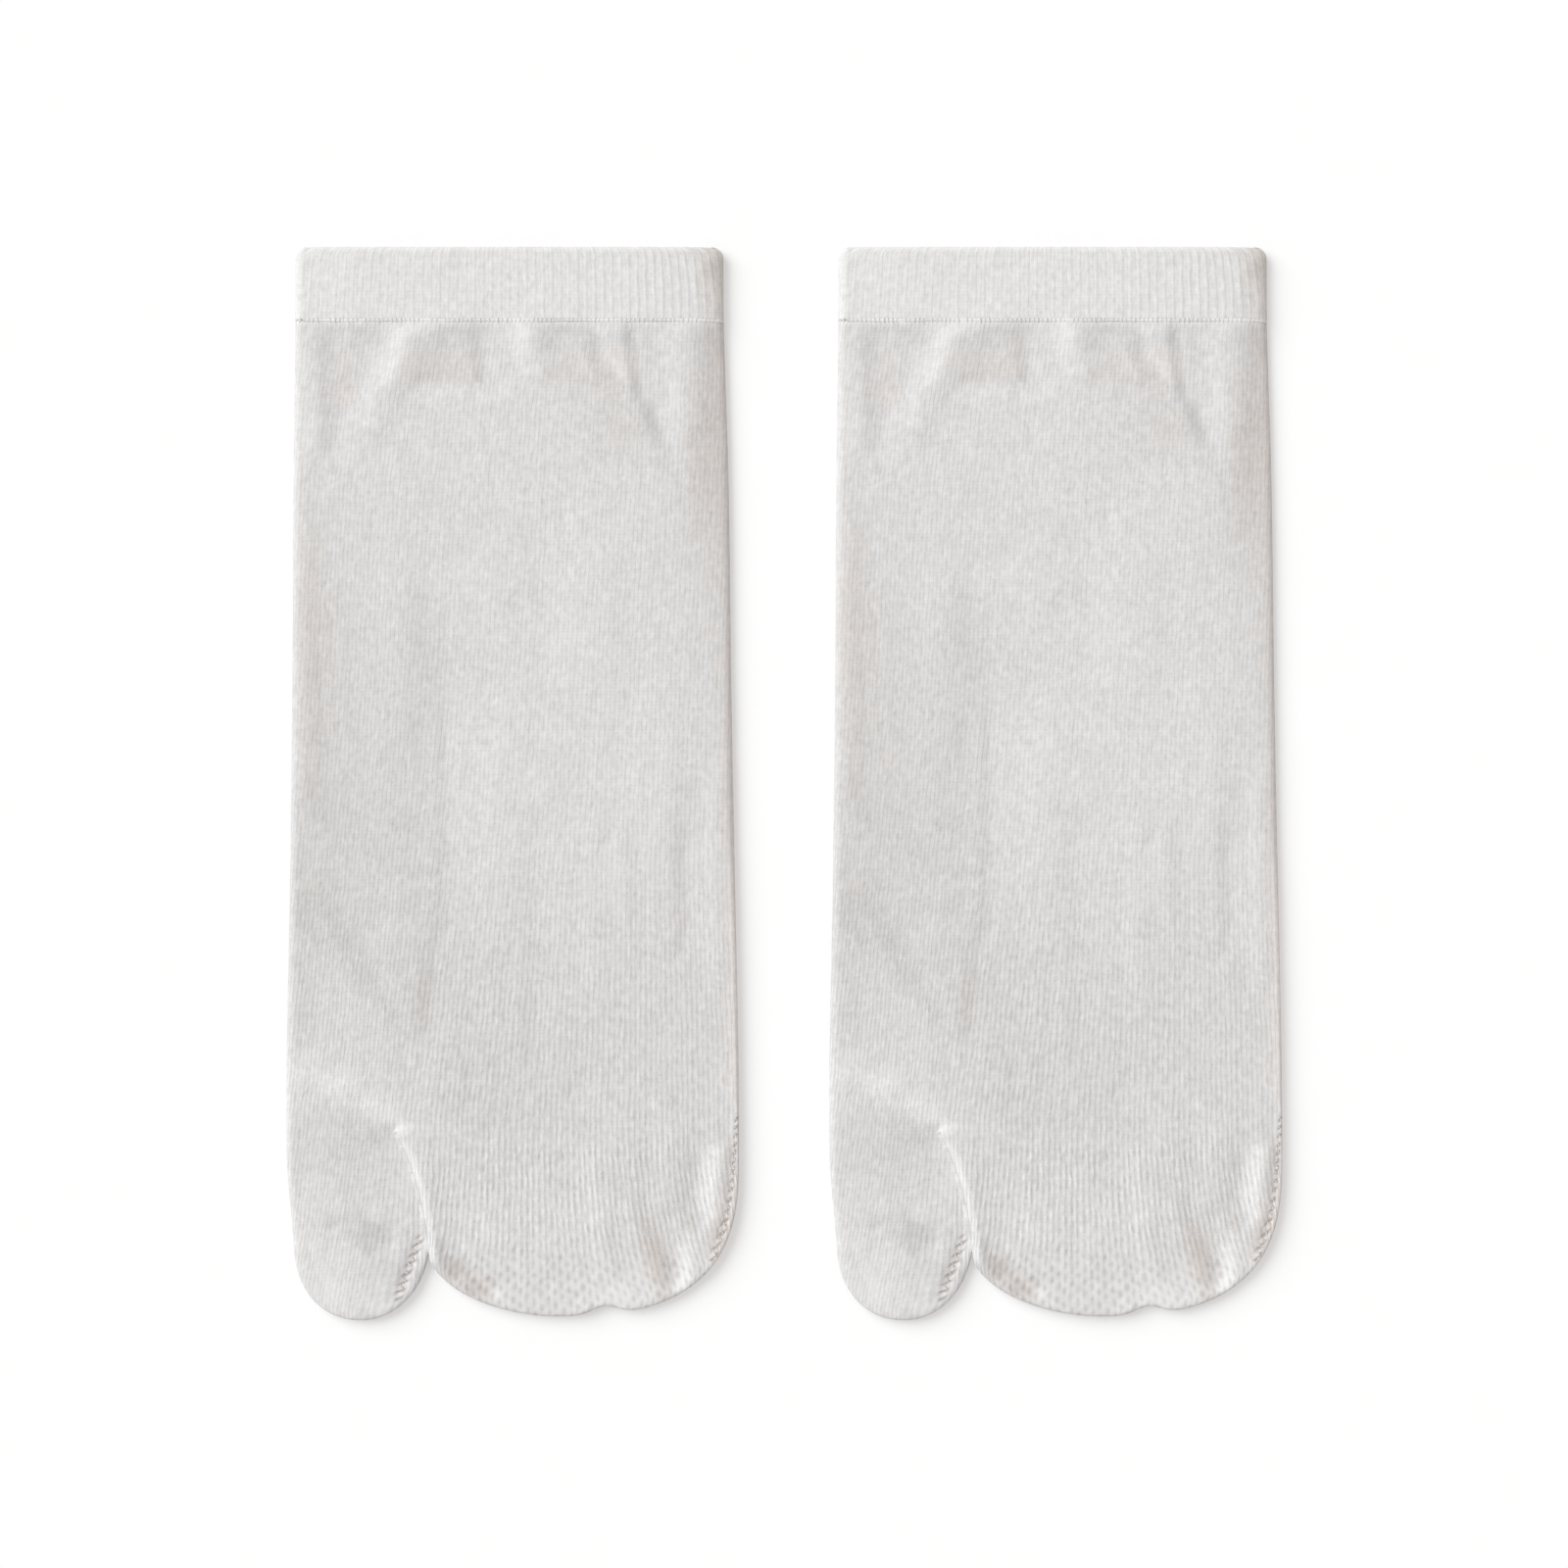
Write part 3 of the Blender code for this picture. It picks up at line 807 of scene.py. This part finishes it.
class Builder:
    """A mesh being made in millimetres, with the knit's coordinates and the tones of each point."""

    def __init__(self, shift):
        self.shift = (*shift, 0)
        self.points = []
        self.knit = []
        self.tones = []
        self.faces = []

    def add(self, points, knit):
        start = len(self.points)
        self.points.extend(points.tolist())
        self.knit.extend(knit.tolist())
        self.tones.extend(tones_at(points).tolist())
        return np.arange(start, start + len(points))

    def quads(self, grid):
        corners = (grid[1:, :-1], grid[1:, 1:], grid[:-1, 1:], grid[:-1, :-1])
        self.faces.extend(np.stack(corners, axis=-1).reshape(-1, 4).tolist())

    def finished(self, name, tidy=False):
        """The mesh as an object in the scene, with its faces turned outwards where it asks for that."""
        mesh = bpy.data.meshes.new(name)
        points = (np.array(self.points) + self.shift) * METRES
        mesh.from_pydata(points.tolist(), [], self.faces)
        if tidy:
            shape = bmesh.new()
            shape.from_mesh(mesh)
            bmesh.ops.recalc_face_normals(shape, faces=shape.faces)
            shape.to_mesh(mesh)
            shape.free()
        knit = mesh.uv_layers.new(name="knit")
        corner_points = np.zeros(len(mesh.loops), int)
        mesh.loops.foreach_get("vertex_index", corner_points)
        knit.data.foreach_set("uv", np.array(self.knit, np.float32)[corner_points].ravel())
        for tone, values in zip(TONES, np.array(self.tones, np.float32).T):
            mesh.attributes.new(tone, "FLOAT", "POINT").data.foreach_set("value", values.copy())
        mesh.shade_smooth()
        return placed(name, mesh)


def looseness(x, y):
    """How open the knit is: tight in the leg, and loose at the tips of the toes, most at the four."""
    four = smooth_step((22 - y) / 16) * smooth_step((x + 17) / 5)
    return four + 0.35 * smooth_step((16 - y) / 14) * smooth_step((-17 - x) / 4)


def wale_shade_strength(x, y):
    """How strong the painted shade between the wales is: little in the leg, more down the foot, most over the
    four toes.
    """
    clear = 0.45 * smooth_step((125 - y) / 60) + 0.55 * smooth_step((46 - y) / 12)
    big_toe = smooth_step((CLEFT_TOP[1] + 6 - y) / 12) * smooth_step((-20 - x) / 4)
    return clear * (1 - 0.7 * big_toe)


def highlight_rim_share(points):
    """From 0 to 1, how much a point belongs to the rim along the cleft, where a highlight is painted."""
    y = points[:, 1]
    aside = beside_cleft(points)
    share = smooth_step((aside + 1.1) / 0.9) * smooth_step((2 - aside) / 1.6)
    return share * smooth_step((CLEFT_TOP[1] - y) / 3) * smooth_step((y - 10) / 8)


def tones_at(points):
    """What the material reads at each point: the TONES, with painted shade, painted light and the painted
    warm cast of shade. The rim and the seams are on top only.
    """
    x, y, z = points.T
    on_top = z > TOP_LAYER_HEIGHT
    painted_shade, warm_shade = np.zeros((2, len(points)))
    # Painted shade and its warm cast from the patches; a patch with its shade below 0 paints light
    for near, row in zip(near_rows(points[:, :2], PAINTED_SHADE_PATCHES), PAINTED_SHADE_PATCHES):
        painted_shade += near * row[4]
        warm_shade += near * row[5]
    # A painted highlight along the rim at the cleft
    painted_shade -= LIP_PAINTED_HIGHLIGHT * highlight_rim_share(points) * on_top
    # Painted shade in the bands
    for row in SHADE_BANDS:
        painted_shade += row[5] * line_share(points, row)
    # Where the painted shade of the needle holes goes
    gore = np.max([line_share(points, row) for row in GORES], axis=0) * on_top
    return rows_of(looseness(x, y), wale_shade_strength(x, y), painted_shade, np.clip(warm_shade, 0, 1.2), gore)


class Shell:
    """A knitted piece as a closed shell: fine on top and round its folds, coarser underneath and inside."""

    def __init__(self, side, kind, plan, shift, ribs=None):
        self.plan = plan
        self.relief = Relief(plan, kind, SEEDS[side])
        self.wall = WALL[kind]
        self.builder = Builder(shift)
        self.knit = plan.knit()
        self.top_z = self.relief.at(plan.points) + (ribs(plan) if ribs else 0)
        self.inner_z = np.maximum(self.top_z - self.wall, self.wall + LEAST_HOLLOW)
        self.over = self.builder.add(rows_of(plan.points, self.top_z), self.knit)
        for grid in plan.grids:
            self.builder.quads(self.over[grid])
        self.under, self.lining_low, self.lining_high = self.coarse_layers()
        self.ends = {}
        for chain, turns in plan.chains:
            self.close_fold(chain, turns)
        for mouth in plan.mouths:
            self.close_mouth(mouth)
        self.piece = self.builder.finished(f"{side}_{kind}_shell", tidy=True)

    def coarse_layers(self):
        """The underside and the lining's two faces: for each, its number for every COARSE-th point."""
        plan = self.plan
        coarse = np.unique(np.concatenate([grid[::COARSE, ::COARSE].ravel() for grid in plan.grids]))
        layers = np.full((3, len(plan.points)), -1)
        for layer, height in zip(layers, (0 * self.inner_z, 0 * self.inner_z + self.wall, self.inner_z)):
            layer[coarse] = self.builder.add(rows_of(plan.points[coarse], height[coarse]), self.knit[coarse])
        for layer in layers:
            for grid in plan.grids:
                self.builder.quads(layer[grid[::COARSE, ::COARSE]])
        return layers

    def close_fold(self, chain, turns):
        """The folds of the cloth and of the lining along a chain."""
        columns = self.fold_columns(chain, turns)
        self.builder.quads(columns)
        low = self.under[chain[::COARSE]]
        for number in range(len(low) - 1):
            fine = columns[0, number * COARSE : (number + 1) * COARSE + 1]
            self.builder.faces.append([low[number], *fine.tolist(), low[number + 1]])
        lining = self.lining_columns(chain[::COARSE], turns[::COARSE])
        self.builder.quads(lining)
        for at in (0, -1):
            self.ends[int(chain[at])] = ([int(low[at]), *columns[:, at].tolist()], lining[:, at].tolist())

    def fold_columns(self, chain, turns):
        """At each place of a chain, a column of points round the fold, from the underside to the top."""
        relief, radius = self.relief, self.relief.radius
        points, tops = self.plan.points[chain], self.top_z[chain]
        widest = relief.widest(points + turns * radius)
        lip = relief.cleft_share(points + turns * radius, 1) * (turns[:, 0] < 0)
        full = radius + LIP_REACH * lip
        columns = []
        for step in range(1, LOWER_FOLD_STEPS + UPPER_FOLD_STEPS):
            if step <= LOWER_FOLD_STEPS:
                angle = math.pi / 2 * step / LOWER_FOLD_STEPS
                out = radius * math.sin(angle) + LIP_REACH * lip * (step / LOWER_FOLD_STEPS) ** 6
                height = widest * (1 - math.cos(angle))
                around = out * (1 + FOLD_SLACK * (tops - widest) / radius)
            else:
                angle = math.pi / 2 * (step - LOWER_FOLD_STEPS) / UPPER_FOLD_STEPS
                out = full * math.cos(angle)
                height = relief.at(points + turns * out[:, None], radius * (1 - out / full))
                around = out + FOLD_SLACK * (tops - height)
            places = points + turns * out[:, None]
            stretched = self.knit[chain] + turns * (1, -1) * around[:, None] / (WALE, COURSE)
            columns.append(self.builder.add(rows_of(places, height), stretched))
        return np.array([*columns, self.over[chain]])

    def lining_columns(self, some, turns):
        """At some places, a column of points round the lining's fold, from its lower face to its upper."""
        columns = [self.lining_low[some]]
        for step in range(1, LINING_FOLD_STEPS):
            angle = math.pi * step / LINING_FOLD_STEPS
            out = (self.relief.radius - self.wall) * math.sin(angle)
            height = self.wall + (self.inner_z[some] - self.wall) * (1 - math.cos(angle)) / 2
            places = rows_of(self.plan.points[some] + turns * out, height)
            columns.append(self.builder.add(places, self.knit[some]))
        return np.array([*columns, self.lining_high[some]])

    def close_mouth(self, mouth):
        """The cloth's edge at an open end: of the top layer, the underside and the folds at the corners."""
        some = mouth[::COARSE]
        faces = self.builder.faces
        for number, (first, second) in enumerate(zip(some[:-1], some[1:])):
            fine = self.over[mouth[number * COARSE : (number + 1) * COARSE + 1]].tolist()
            faces.append([*fine, self.lining_high[second], self.lining_high[first]])
            back = [self.under[first], self.under[second], self.lining_low[second], self.lining_low[first]]
            faces.append(back)
        for corner in (mouth[0], mouth[-1]):
            outer, inner = self.ends[int(corner)]
            faces.append([*outer, *inner[::-1]])


def cuff_ribs(plan):
    """The cuff's ribs, two wales apart: faint on the left and clear on the right."""
    x, y = plan.points.T
    depth = 0.008 + 0.026 * smooth_step((x - 2) / 30)
    ends = smooth_step((SOCK_LENGTH - 0.3 - y) / 0.8)
    return depth * ends * np.cos(math.pi * plan.wales)


def add_tube(builder, path, radius, across=None):
    """Yarn along a path, as a tube with tapered ends, or as a ring in the plane square to across."""
    path = np.array(path, float)
    ahead = np.gradient(path, axis=0)
    ahead /= np.linalg.norm(ahead, axis=1)[:, None]
    size = np.full((len(path), 1), radius)
    if across is None:
        side = np.cross(ahead, (0, 0, 1))
        side /= np.maximum(np.linalg.norm(side, axis=1), 1e-6)[:, None]
        size[[0, -1]] = radius * TUBE_TAPER
    else:
        side = np.tile(np.array(across, float), (len(path), 1))
    top = np.cross(side, ahead)
    along = np.linspace(0, 2, len(path))
    rings = []
    for turn in range(TUBE_SIDES):
        angle = 2 * math.pi * turn / TUBE_SIDES
        ring = path + size * (math.cos(angle) * side + math.sin(angle) * top)
        rings.append(builder.add(ring, rows_of(np.full(len(path), turn / TUBE_SIDES), along)))
    rings = np.array(rings + [rings[0]])
    builder.quads(rings)
    if across is None:
        builder.faces.append(rings[:-1, 0].tolist())
        builder.faces.append(rings[-2::-1, -1].tolist())


def seam_ring(body_relief, cuff_relief):
    """A loop of points round the sock in the seam, a little under its surface."""
    left = float(side_x(SEAM, 0)) + SEAM_TURN
    right = float(side_x(SEAM, 1)) - SEAM_TURN
    x = np.linspace(left, right, 4 * ALL_WALES)
    level = np.full(len(x), SEAM)
    top = (cuff_relief.at(rows_of(x, level + 0.5)) + body_relief.at(rows_of(x, level - 0.5))) / 2
    middle = top[-1] / 2
    turn = np.linspace(math.pi / 2, -math.pi / 2, SEAM_TURN_STEPS)[1:-1]
    out = (SEAM_TURN - CORD_DEPTH) * np.cos(turn)
    up = (middle - CORD_DEPTH) * np.sin(turn)
    back = x[::-4]
    high = top - CORD_DEPTH
    ring_x = np.concatenate([x, right + out, back, left - out, x[:1]])
    ring_z = np.concatenate([high, middle + up, 0 * back + CORD_DEPTH, middle - up, high[:1]])
    return rows_of(ring_x, np.full(len(ring_x), SEAM), ring_z)


def link_stitches(name, shift, body_relief, cuff_relief, rng):
    """The seam between the cuff and the body: a yarn that runs in it, and a stitch over it at each wale."""
    builder = Builder(shift)
    add_tube(builder, seam_ring(body_relief, cuff_relief), CORD / 2, (0, -1, 0))
    ends = float(side_x(SEAM, 0)) + LINK_INSET, float(side_x(SEAM, 1)) - LINK_INSET
    for x in np.linspace(*ends, ALL_WALES):
        x = x + rng.uniform(-0.1, 0.1)
        lean = rng.uniform(-0.1, 0.1)
        over = rng.uniform(-0.06, 0.05)
        upper = np.array([(x - lean, SEAM + LINK_REACH), (x - lean, SEAM + LINK_REACH / 2)])
        lower = np.array([(x + lean, SEAM - LINK_REACH / 2), (x + lean, SEAM - LINK_REACH)])
        high = cuff_relief.at(upper)
        low = body_relief.at(lower)
        heights = np.array([*high, (high[1] + low[0]) / 2, *low]) - LINK_SUNK
        heights[1:4] += over
        path = rows_of(np.vstack([upper, (x, SEAM), lower]), heights)
        add_tube(builder, path, LINK_YARN / 2 * rng.uniform(0.85, 1.15))
        add_tube(builder, [(x, SEAM + up, height) for up, height in LINK_BELOW], LINK_YARN / 2)
    return builder.finished(name)


def gore_stitches(name, shift, body_relief, rng):
    """The slanted stitches that close the side seams of the toe pockets."""
    builder = Builder(shift)
    for row in GORES:
        start, end = np.array(row[:4]).reshape(2, 2)
        length = math.hypot(*(end - start))
        along = (end - start) / length
        aside = np.array((-along[1], along[0]))
        for number in range(int(length / GORE_STITCH)):
            middle = start + along * GORE_STITCH * (number + 0.5 + rng.uniform(-0.15, 0.15))
            slant = along * GORE_STITCH * rng.uniform(0.25, 0.6)
            reach = aside * row[4] * rng.uniform(0.3, 0.75)
            ends = middle + np.array([-reach - slant, -reach * 0.5, reach * 0.5, reach + slant])
            heights = body_relief.at(ends) + GORE_RISE
            add_tube(builder, rows_of(ends, heights), GORE_YARN / 2 * rng.uniform(0.8, 1.15))
    return builder.finished(name)


def placed(name, data):
    """A new object in the scene, made of a mesh, light or camera."""
    thing = bpy.data.objects.new(name, data)
    bpy.context.scene.collection.objects.link(thing)
    return thing


class Graph:
    """A material's nodes, added one at a time."""

    def __init__(self, name):
        self.material = bpy.data.materials.new(name)
        self.material.use_nodes = True
        self.tree = self.material.node_tree
        self.shader = self.tree.nodes["Principled BSDF"]

    def feed(self, node, sources):
        """Sets a node's sockets, or links them to what feeds them."""
        for socket, source in sources.items():
            if isinstance(source, (int, float, tuple)):
                node.inputs[socket].default_value = source
            else:
                self.tree.links.new(source, node.inputs[socket])
        return node

    def node(self, kind, sources=None, **settings):
        node = self.tree.nodes.new("ShaderNode" + kind)
        for key, value in settings.items():
            setattr(node, key, value)
        return self.feed(node, sources or {})

    def math(self, operation, *values):
        return self.node("Math", dict(enumerate(values)), operation=operation).outputs[0]

    def times(self, value, factor):
        return self.math("MULTIPLY", value, factor)

    def total(self, first, *others):
        for other in others:
            first = self.math("ADD", first, other)
        return first

    def spread(self, value, *limits):
        """A value brought from between the first two limits to between the other two."""
        return self.node("MapRange", dict(enumerate((value, *limits))), clamp=True).outputs[0]

    def noise(self, vector, scale, detail):
        return self.node("TexNoise", {"Vector": vector, "Scale": scale, "Detail": detail}).outputs[0]

    def vector(self, *values):
        return self.node("CombineXYZ", dict(enumerate(values))).outputs[0]

    def blend(self, share, below, above, kind="MIX"):
        """One colour laid over another, by a share."""
        colours = [(*colour, 1) if isinstance(colour, tuple) else colour for colour in (below, above)]
        sources = {0: share, 6: colours[0], 7: colours[1]}
        return self.node("Mix", sources, data_type="RGBA", blend_type=kind).outputs[2]

    def knit_place(self):
        """Where a point is in the knit: across in wales and down in courses."""
        uv = self.node("UVMap", uv_map="knit").outputs[0]
        return self.node("SeparateXYZ", {0: uv}).outputs[:2]

    def finished(self, colour, roughness, height, depth):
        """The material, with its shader fed, and bumps of a depth in millimetres."""
        bump = self.node("Bump", {"Distance": depth * METRES, "Height": height}).outputs[0]
        looks = {"Base Color": colour, "Roughness": roughness, "Normal": bump, "Specular IOR Level": SPECULAR}
        self.feed(self.shader, looks)
        return self.material


class Knit(Graph):
    """A fine jersey: V-shaped stitches in wales, deeper between the wales and with painted shade there,
    uneven in depth and colour.
    """

    def __init__(self, name, seed):
        super().__init__(name)
        self.seed = seed
        self.u, self.v = self.knit_place()
        # The wales wander a little
        wander = self.times(self.uneven(0.5, 0.14, 0), 0.7)
        self.bent = self.total(self.u, wander, self.times(self.uneven(1.2, 0.5, 2), 0.32))
        self.slanted = self.total(self.v, self.times(self.math("PINGPONG", self.bent, 0.5), 1.1))

    def tone(self, name):
        return self.node("Attribute", attribute_name=name).outputs["Fac"]

    def uneven(self, across, along, offset, detail=1):
        place = self.vector(self.times(self.u, across), self.times(self.v, along), self.seed + offset)
        return self.math("SUBTRACT", self.noise(place, 1, detail), 0.5)

    def stitches(self):
        """The stitches' height, and the painted shade between the wales and in the staggered open mesh where
        the knit is loose.
        """
        turn = self.times(self.bent, 2 * math.pi)
        single = self.math("COSINE", turn)
        double = self.math("COSINE", self.times(turn, 2))
        wale = self.math("SUBTRACT", self.times(single, 0.55), self.times(double, 0.22))
        legs = self.math("COSINE", self.times(self.slanted, 2 * math.pi))
        down = self.total(self.v, self.times(self.u, 0.35))
        steps = self.math("COSINE", self.times(down, 2 * math.pi / MESH_COURSES))
        staggered = self.times(self.math("SINE", self.times(self.bent, math.pi)), steps)
        lattice = self.total(self.times(single, 0.45), self.times(staggered, 0.65))
        depth = self.spread(self.uneven(0.9, 0.16, 4, 3), -0.22, 0.22, 0.15, 1.5)
        tight = self.total(self.times(wale, depth), self.times(legs, 0.3))
        loose = self.tone("loose")
        tight = self.times(tight, self.math("MULTIPLY_ADD", loose, -0.65, 1))
        height = self.total(tight, self.times(self.times(lattice, loose), 0.95))
        streaks = self.spread(self.uneven(0.9, 0.34, 30, 2), -0.24, 0.22, -0.15, 2)
        mesh = self.math("MINIMUM", self.times(lattice, 1.25), 0.35)
        mesh = self.times(mesh, self.math("MULTIPLY_ADD", streaks, 0.35, 0.75))
        plain = self.times(self.times(single, self.math("SUBTRACT", 1, loose)), streaks)
        return height, self.total(plain, self.times(mesh, loose))

    def stitch_noise(self):
        """A value of its own for each stitch."""
        place = self.vector(self.math("FLOOR", self.bent), self.math("FLOOR", self.slanted))
        noise_node = self.node("TexWhiteNoise", {"Vector": place}, noise_dimensions="2D")
        return self.math("SUBTRACT", noise_node.outputs["Value"], 0.5)

    def needle_hole_shade(self, odd):
        """How much a point is in a needle hole of the side seams, which run in a slanting row: there shade is
        painted.
        """
        place = self.total(self.times(self.v, 2 * math.pi / HOLE_COURSES), self.times(self.u, 2.6))
        place = self.total(place, self.times(self.uneven(0.4, 0.3, 33), 3))
        dashes = self.total(self.math("SINE", place), self.times(odd, 0.8))
        dashes = self.spread(dashes, -0.1, 0.6, 0, 1)
        return self.times(self.spread(self.tone("gore"), 0.25, 0.75, 0, 1), dashes)


def knit_material(name, colour, seed, rib_share):
    """The knit: its stitches, its ribs if it has them, and yarn uneven by stitch and in streaks, with painted
    shade, painted light and a painted warm cast of shade.
    """
    knit = Knit(name, seed)
    height, stitch_shade = knit.stitches()
    rib = knit.math("COSINE", knit.times(knit.bent, math.pi))
    odd = knit.stitch_noise()
    fibre = knit.times(knit.uneven(5, 3.6, 6), 0.9)
    height = knit.total(height, knit.times(rib, rib_share), knit.times(odd, 0.5), fibre)
    # Painted shade between the wales and in the open mesh, as strong as the clear tone asks, and each
    # stitch's own tone
    clear = knit.math("MULTIPLY_ADD", knit.tone("clear"), 0.068, 0.034 - 0.06 * rib_share)
    tone = knit.total(knit.times(stitch_shade, clear), knit.times(odd, 0.045))
    for across, along, offset, weight in (
        (0.95, 0.6, 9, 0.22),
        (1.25, 0.3, 12, 0.19),
        (0.55, 0.36, 21, 0.13 - 0.32 * rib_share),
        (0.16, 0.1, 15, 0.03),
    ):
        tone = knit.total(tone, knit.times(knit.uneven(across, along, offset), weight))
    # Painted shade, and painted light where it is below 0, from the patches, bands and rim
    tone = knit.total(tone, knit.times(knit.tone("painted_shade"), -0.95))
    # Real yarn tone and painted shade together move the colour between a dark and a bright copy of it
    dark = tuple(0.6 * channel * tint for channel, tint in zip(colour, (1.01, 1, 0.985)))
    bright = tuple(min(1, 1.4 * channel) for channel in colour)
    plain = knit.blend(knit.spread(tone, -0.4, 0.4, 0, 1), dark, bright)
    # The painted warm cast of shade, and a warmer yarn tone at random
    warm = knit.total(knit.tone("warm_shade"), knit.times(knit.uneven(0.4, 0.3, 24), 0.9))
    tinted = knit.blend(warm, plain, WARM_SHADE_AND_YARN_TINT, "MULTIPLY")
    # Painted shade in the needle holes of the toe seams
    holed = knit.blend(knit.needle_hole_shade(odd), tinted, HOLE_SHADE_COLOUR)
    knit.feed(knit.shader, {"Sheen Weight": 0.1, "Sheen Roughness": 0.6})
    return knit.finished(holed, knit.spread(height, -0.8, 0.8, 0.98, 0.86), height, KNIT_DEPTH)


def yarn_material(name, colour):
    """Two-ply yarn: a fine twist, with painted shade in the grooves between its plies."""
    graph = Graph(name)
    round_it, along = graph.knit_place()
    twist = graph.total(round_it, graph.times(along, 1.5))
    ply = graph.math("COSINE", graph.times(twist, 4 * math.pi))
    # Painted shade: darker where the plies dip
    dark = tuple(0.86 * channel for channel in colour)
    tone = graph.blend(graph.spread(ply, -1, 1, 1, 0), colour, dark)
    return graph.finished(tone, graph.spread(ply, -1, 1, 0.95, 0.8), ply, YARN_DEPTH)


def floor_material():
    """A pale matt board with a barely uneven surface."""
    graph = Graph("pale_board")
    grain = graph.noise(graph.node("TexCoord").outputs["Object"], 90, 4)
    paler = tuple(min(1, 1.02 * channel) for channel in FLOOR_COLOUR)
    looks = {
        "Base Color": graph.blend(grain, FLOOR_COLOUR, paler),
        "Roughness": graph.spread(grain, 0.3, 0.7, 0.85, 0.95),
        "Specular IOR Level": 0.1,
        "Emission Color": (1, 1, 1, 1),
        "Emission Strength": FLOOR_GLOW,
    }
    graph.feed(graph.shader, looks)
    return graph.material


def sock_shift(side):
    """Where the sock's own zero lies, from its cuff's place in the CAD frame."""
    low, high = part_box(side + "_cuff")
    middle = (low.x + high.x) / 2 / METRES
    own_middle = float(side_x(SOCK_LENGTH, 0) + side_x(SOCK_LENGTH, 1)) / 2
    return middle - own_middle, low.y / METRES - CUFF_BOTTOM


def build_sock(side, materials):
    """One sock: the knit shell and the stitches of its body and of its cuff."""
    shift = sock_shift(side)
    rng = random.Random(side)
    plans = {"body": body_plan(), "cuff": cuff_plan()}
    body = Shell(side, "body", plans["body"], shift)
    cuff = Shell(side, "cuff", plans["cuff"], shift, cuff_ribs)
    links = link_stitches(side + "_cuff_links", shift, body.relief, cuff.relief, rng)
    gores = gore_stitches(side + "_toe_seams", shift, body.relief, rng)
    for kind, piece, stitches, height, widest in (
        ("body", body.piece, gores, SEAM, SIDES[5]),
        ("cuff", cuff.piece, links, CUFF_HEIGHT, SIDES[1]),
    ):
        piece.data.materials.append(materials[kind])
        stitches.data.materials.append(materials["yarn"])
        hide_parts(side + "_" + kind)
        for some in (piece, stitches):
            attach(some, "root")


def add_floor(material):
    mesh = bpy.data.meshes.new("floor")
    half = FLOOR_SIZE / 2
    corners = [(-half, -half, 0), (half, -half, 0), (half, half, 0), (-half, half, 0)]
    mesh.from_pydata(corners, [], [(0, 1, 2, 3)])
    mesh.materials.append(material)
    floor = placed("floor", mesh)
    floor.location.z = CAD_BOX[0].z - FLOOR_DROP * METRES


def add_light():
    """A broad soft key from the upper left, and a pale surround."""
    light = bpy.data.lights.new("key", "SUN")
    light.energy = KEY_STRENGTH
    light.angle = math.radians(KEY_ANGLE)
    light.color = KEY_COLOUR
    key = placed("key", light)
    key.rotation_euler = Vector(KEY_FROM).to_track_quat("Z", "Y").to_euler()
    world = bpy.data.worlds.new("studio")
    world.use_nodes = True
    background = world.node_tree.nodes["Background"]
    background.inputs[0].default_value = (*SKY_COLOUR, 1)
    background.inputs[1].default_value = SKY_STRENGTH
    bpy.context.scene.world = world


def add_camera():
    """Straight above the middle of the pair."""
    low, high = CAD_BOX
    camera = bpy.data.cameras.new("camera")
    camera.lens = CAMERA_LENS
    camera.sensor_width = CAMERA_FILM
    camera.clip_end = 20
    view = placed("camera", camera)
    distance = VIEW_WIDTH * METRES * CAMERA_LENS / CAMERA_FILM
    view.location = ((low.x + high.x) / 2, (low.y + high.y) / 2, high.z + distance)
    bpy.context.scene.camera = view


def main():
    materials = {
        "body": knit_material("body_knit", KNIT_COLOUR, 1.7, 0),
        "cuff": knit_material("cuff_knit", CUFF_COLOUR, 6.2, 0.25),
        "yarn": yarn_material("linking_yarn", YARN_COLOUR),
    }
    for side in ("left", "right"):
        build_sock(side, materials)
    add_floor(floor_material())
    add_light()
    add_camera()
    bpy.context.scene.view_settings.view_transform = "Standard"


main()
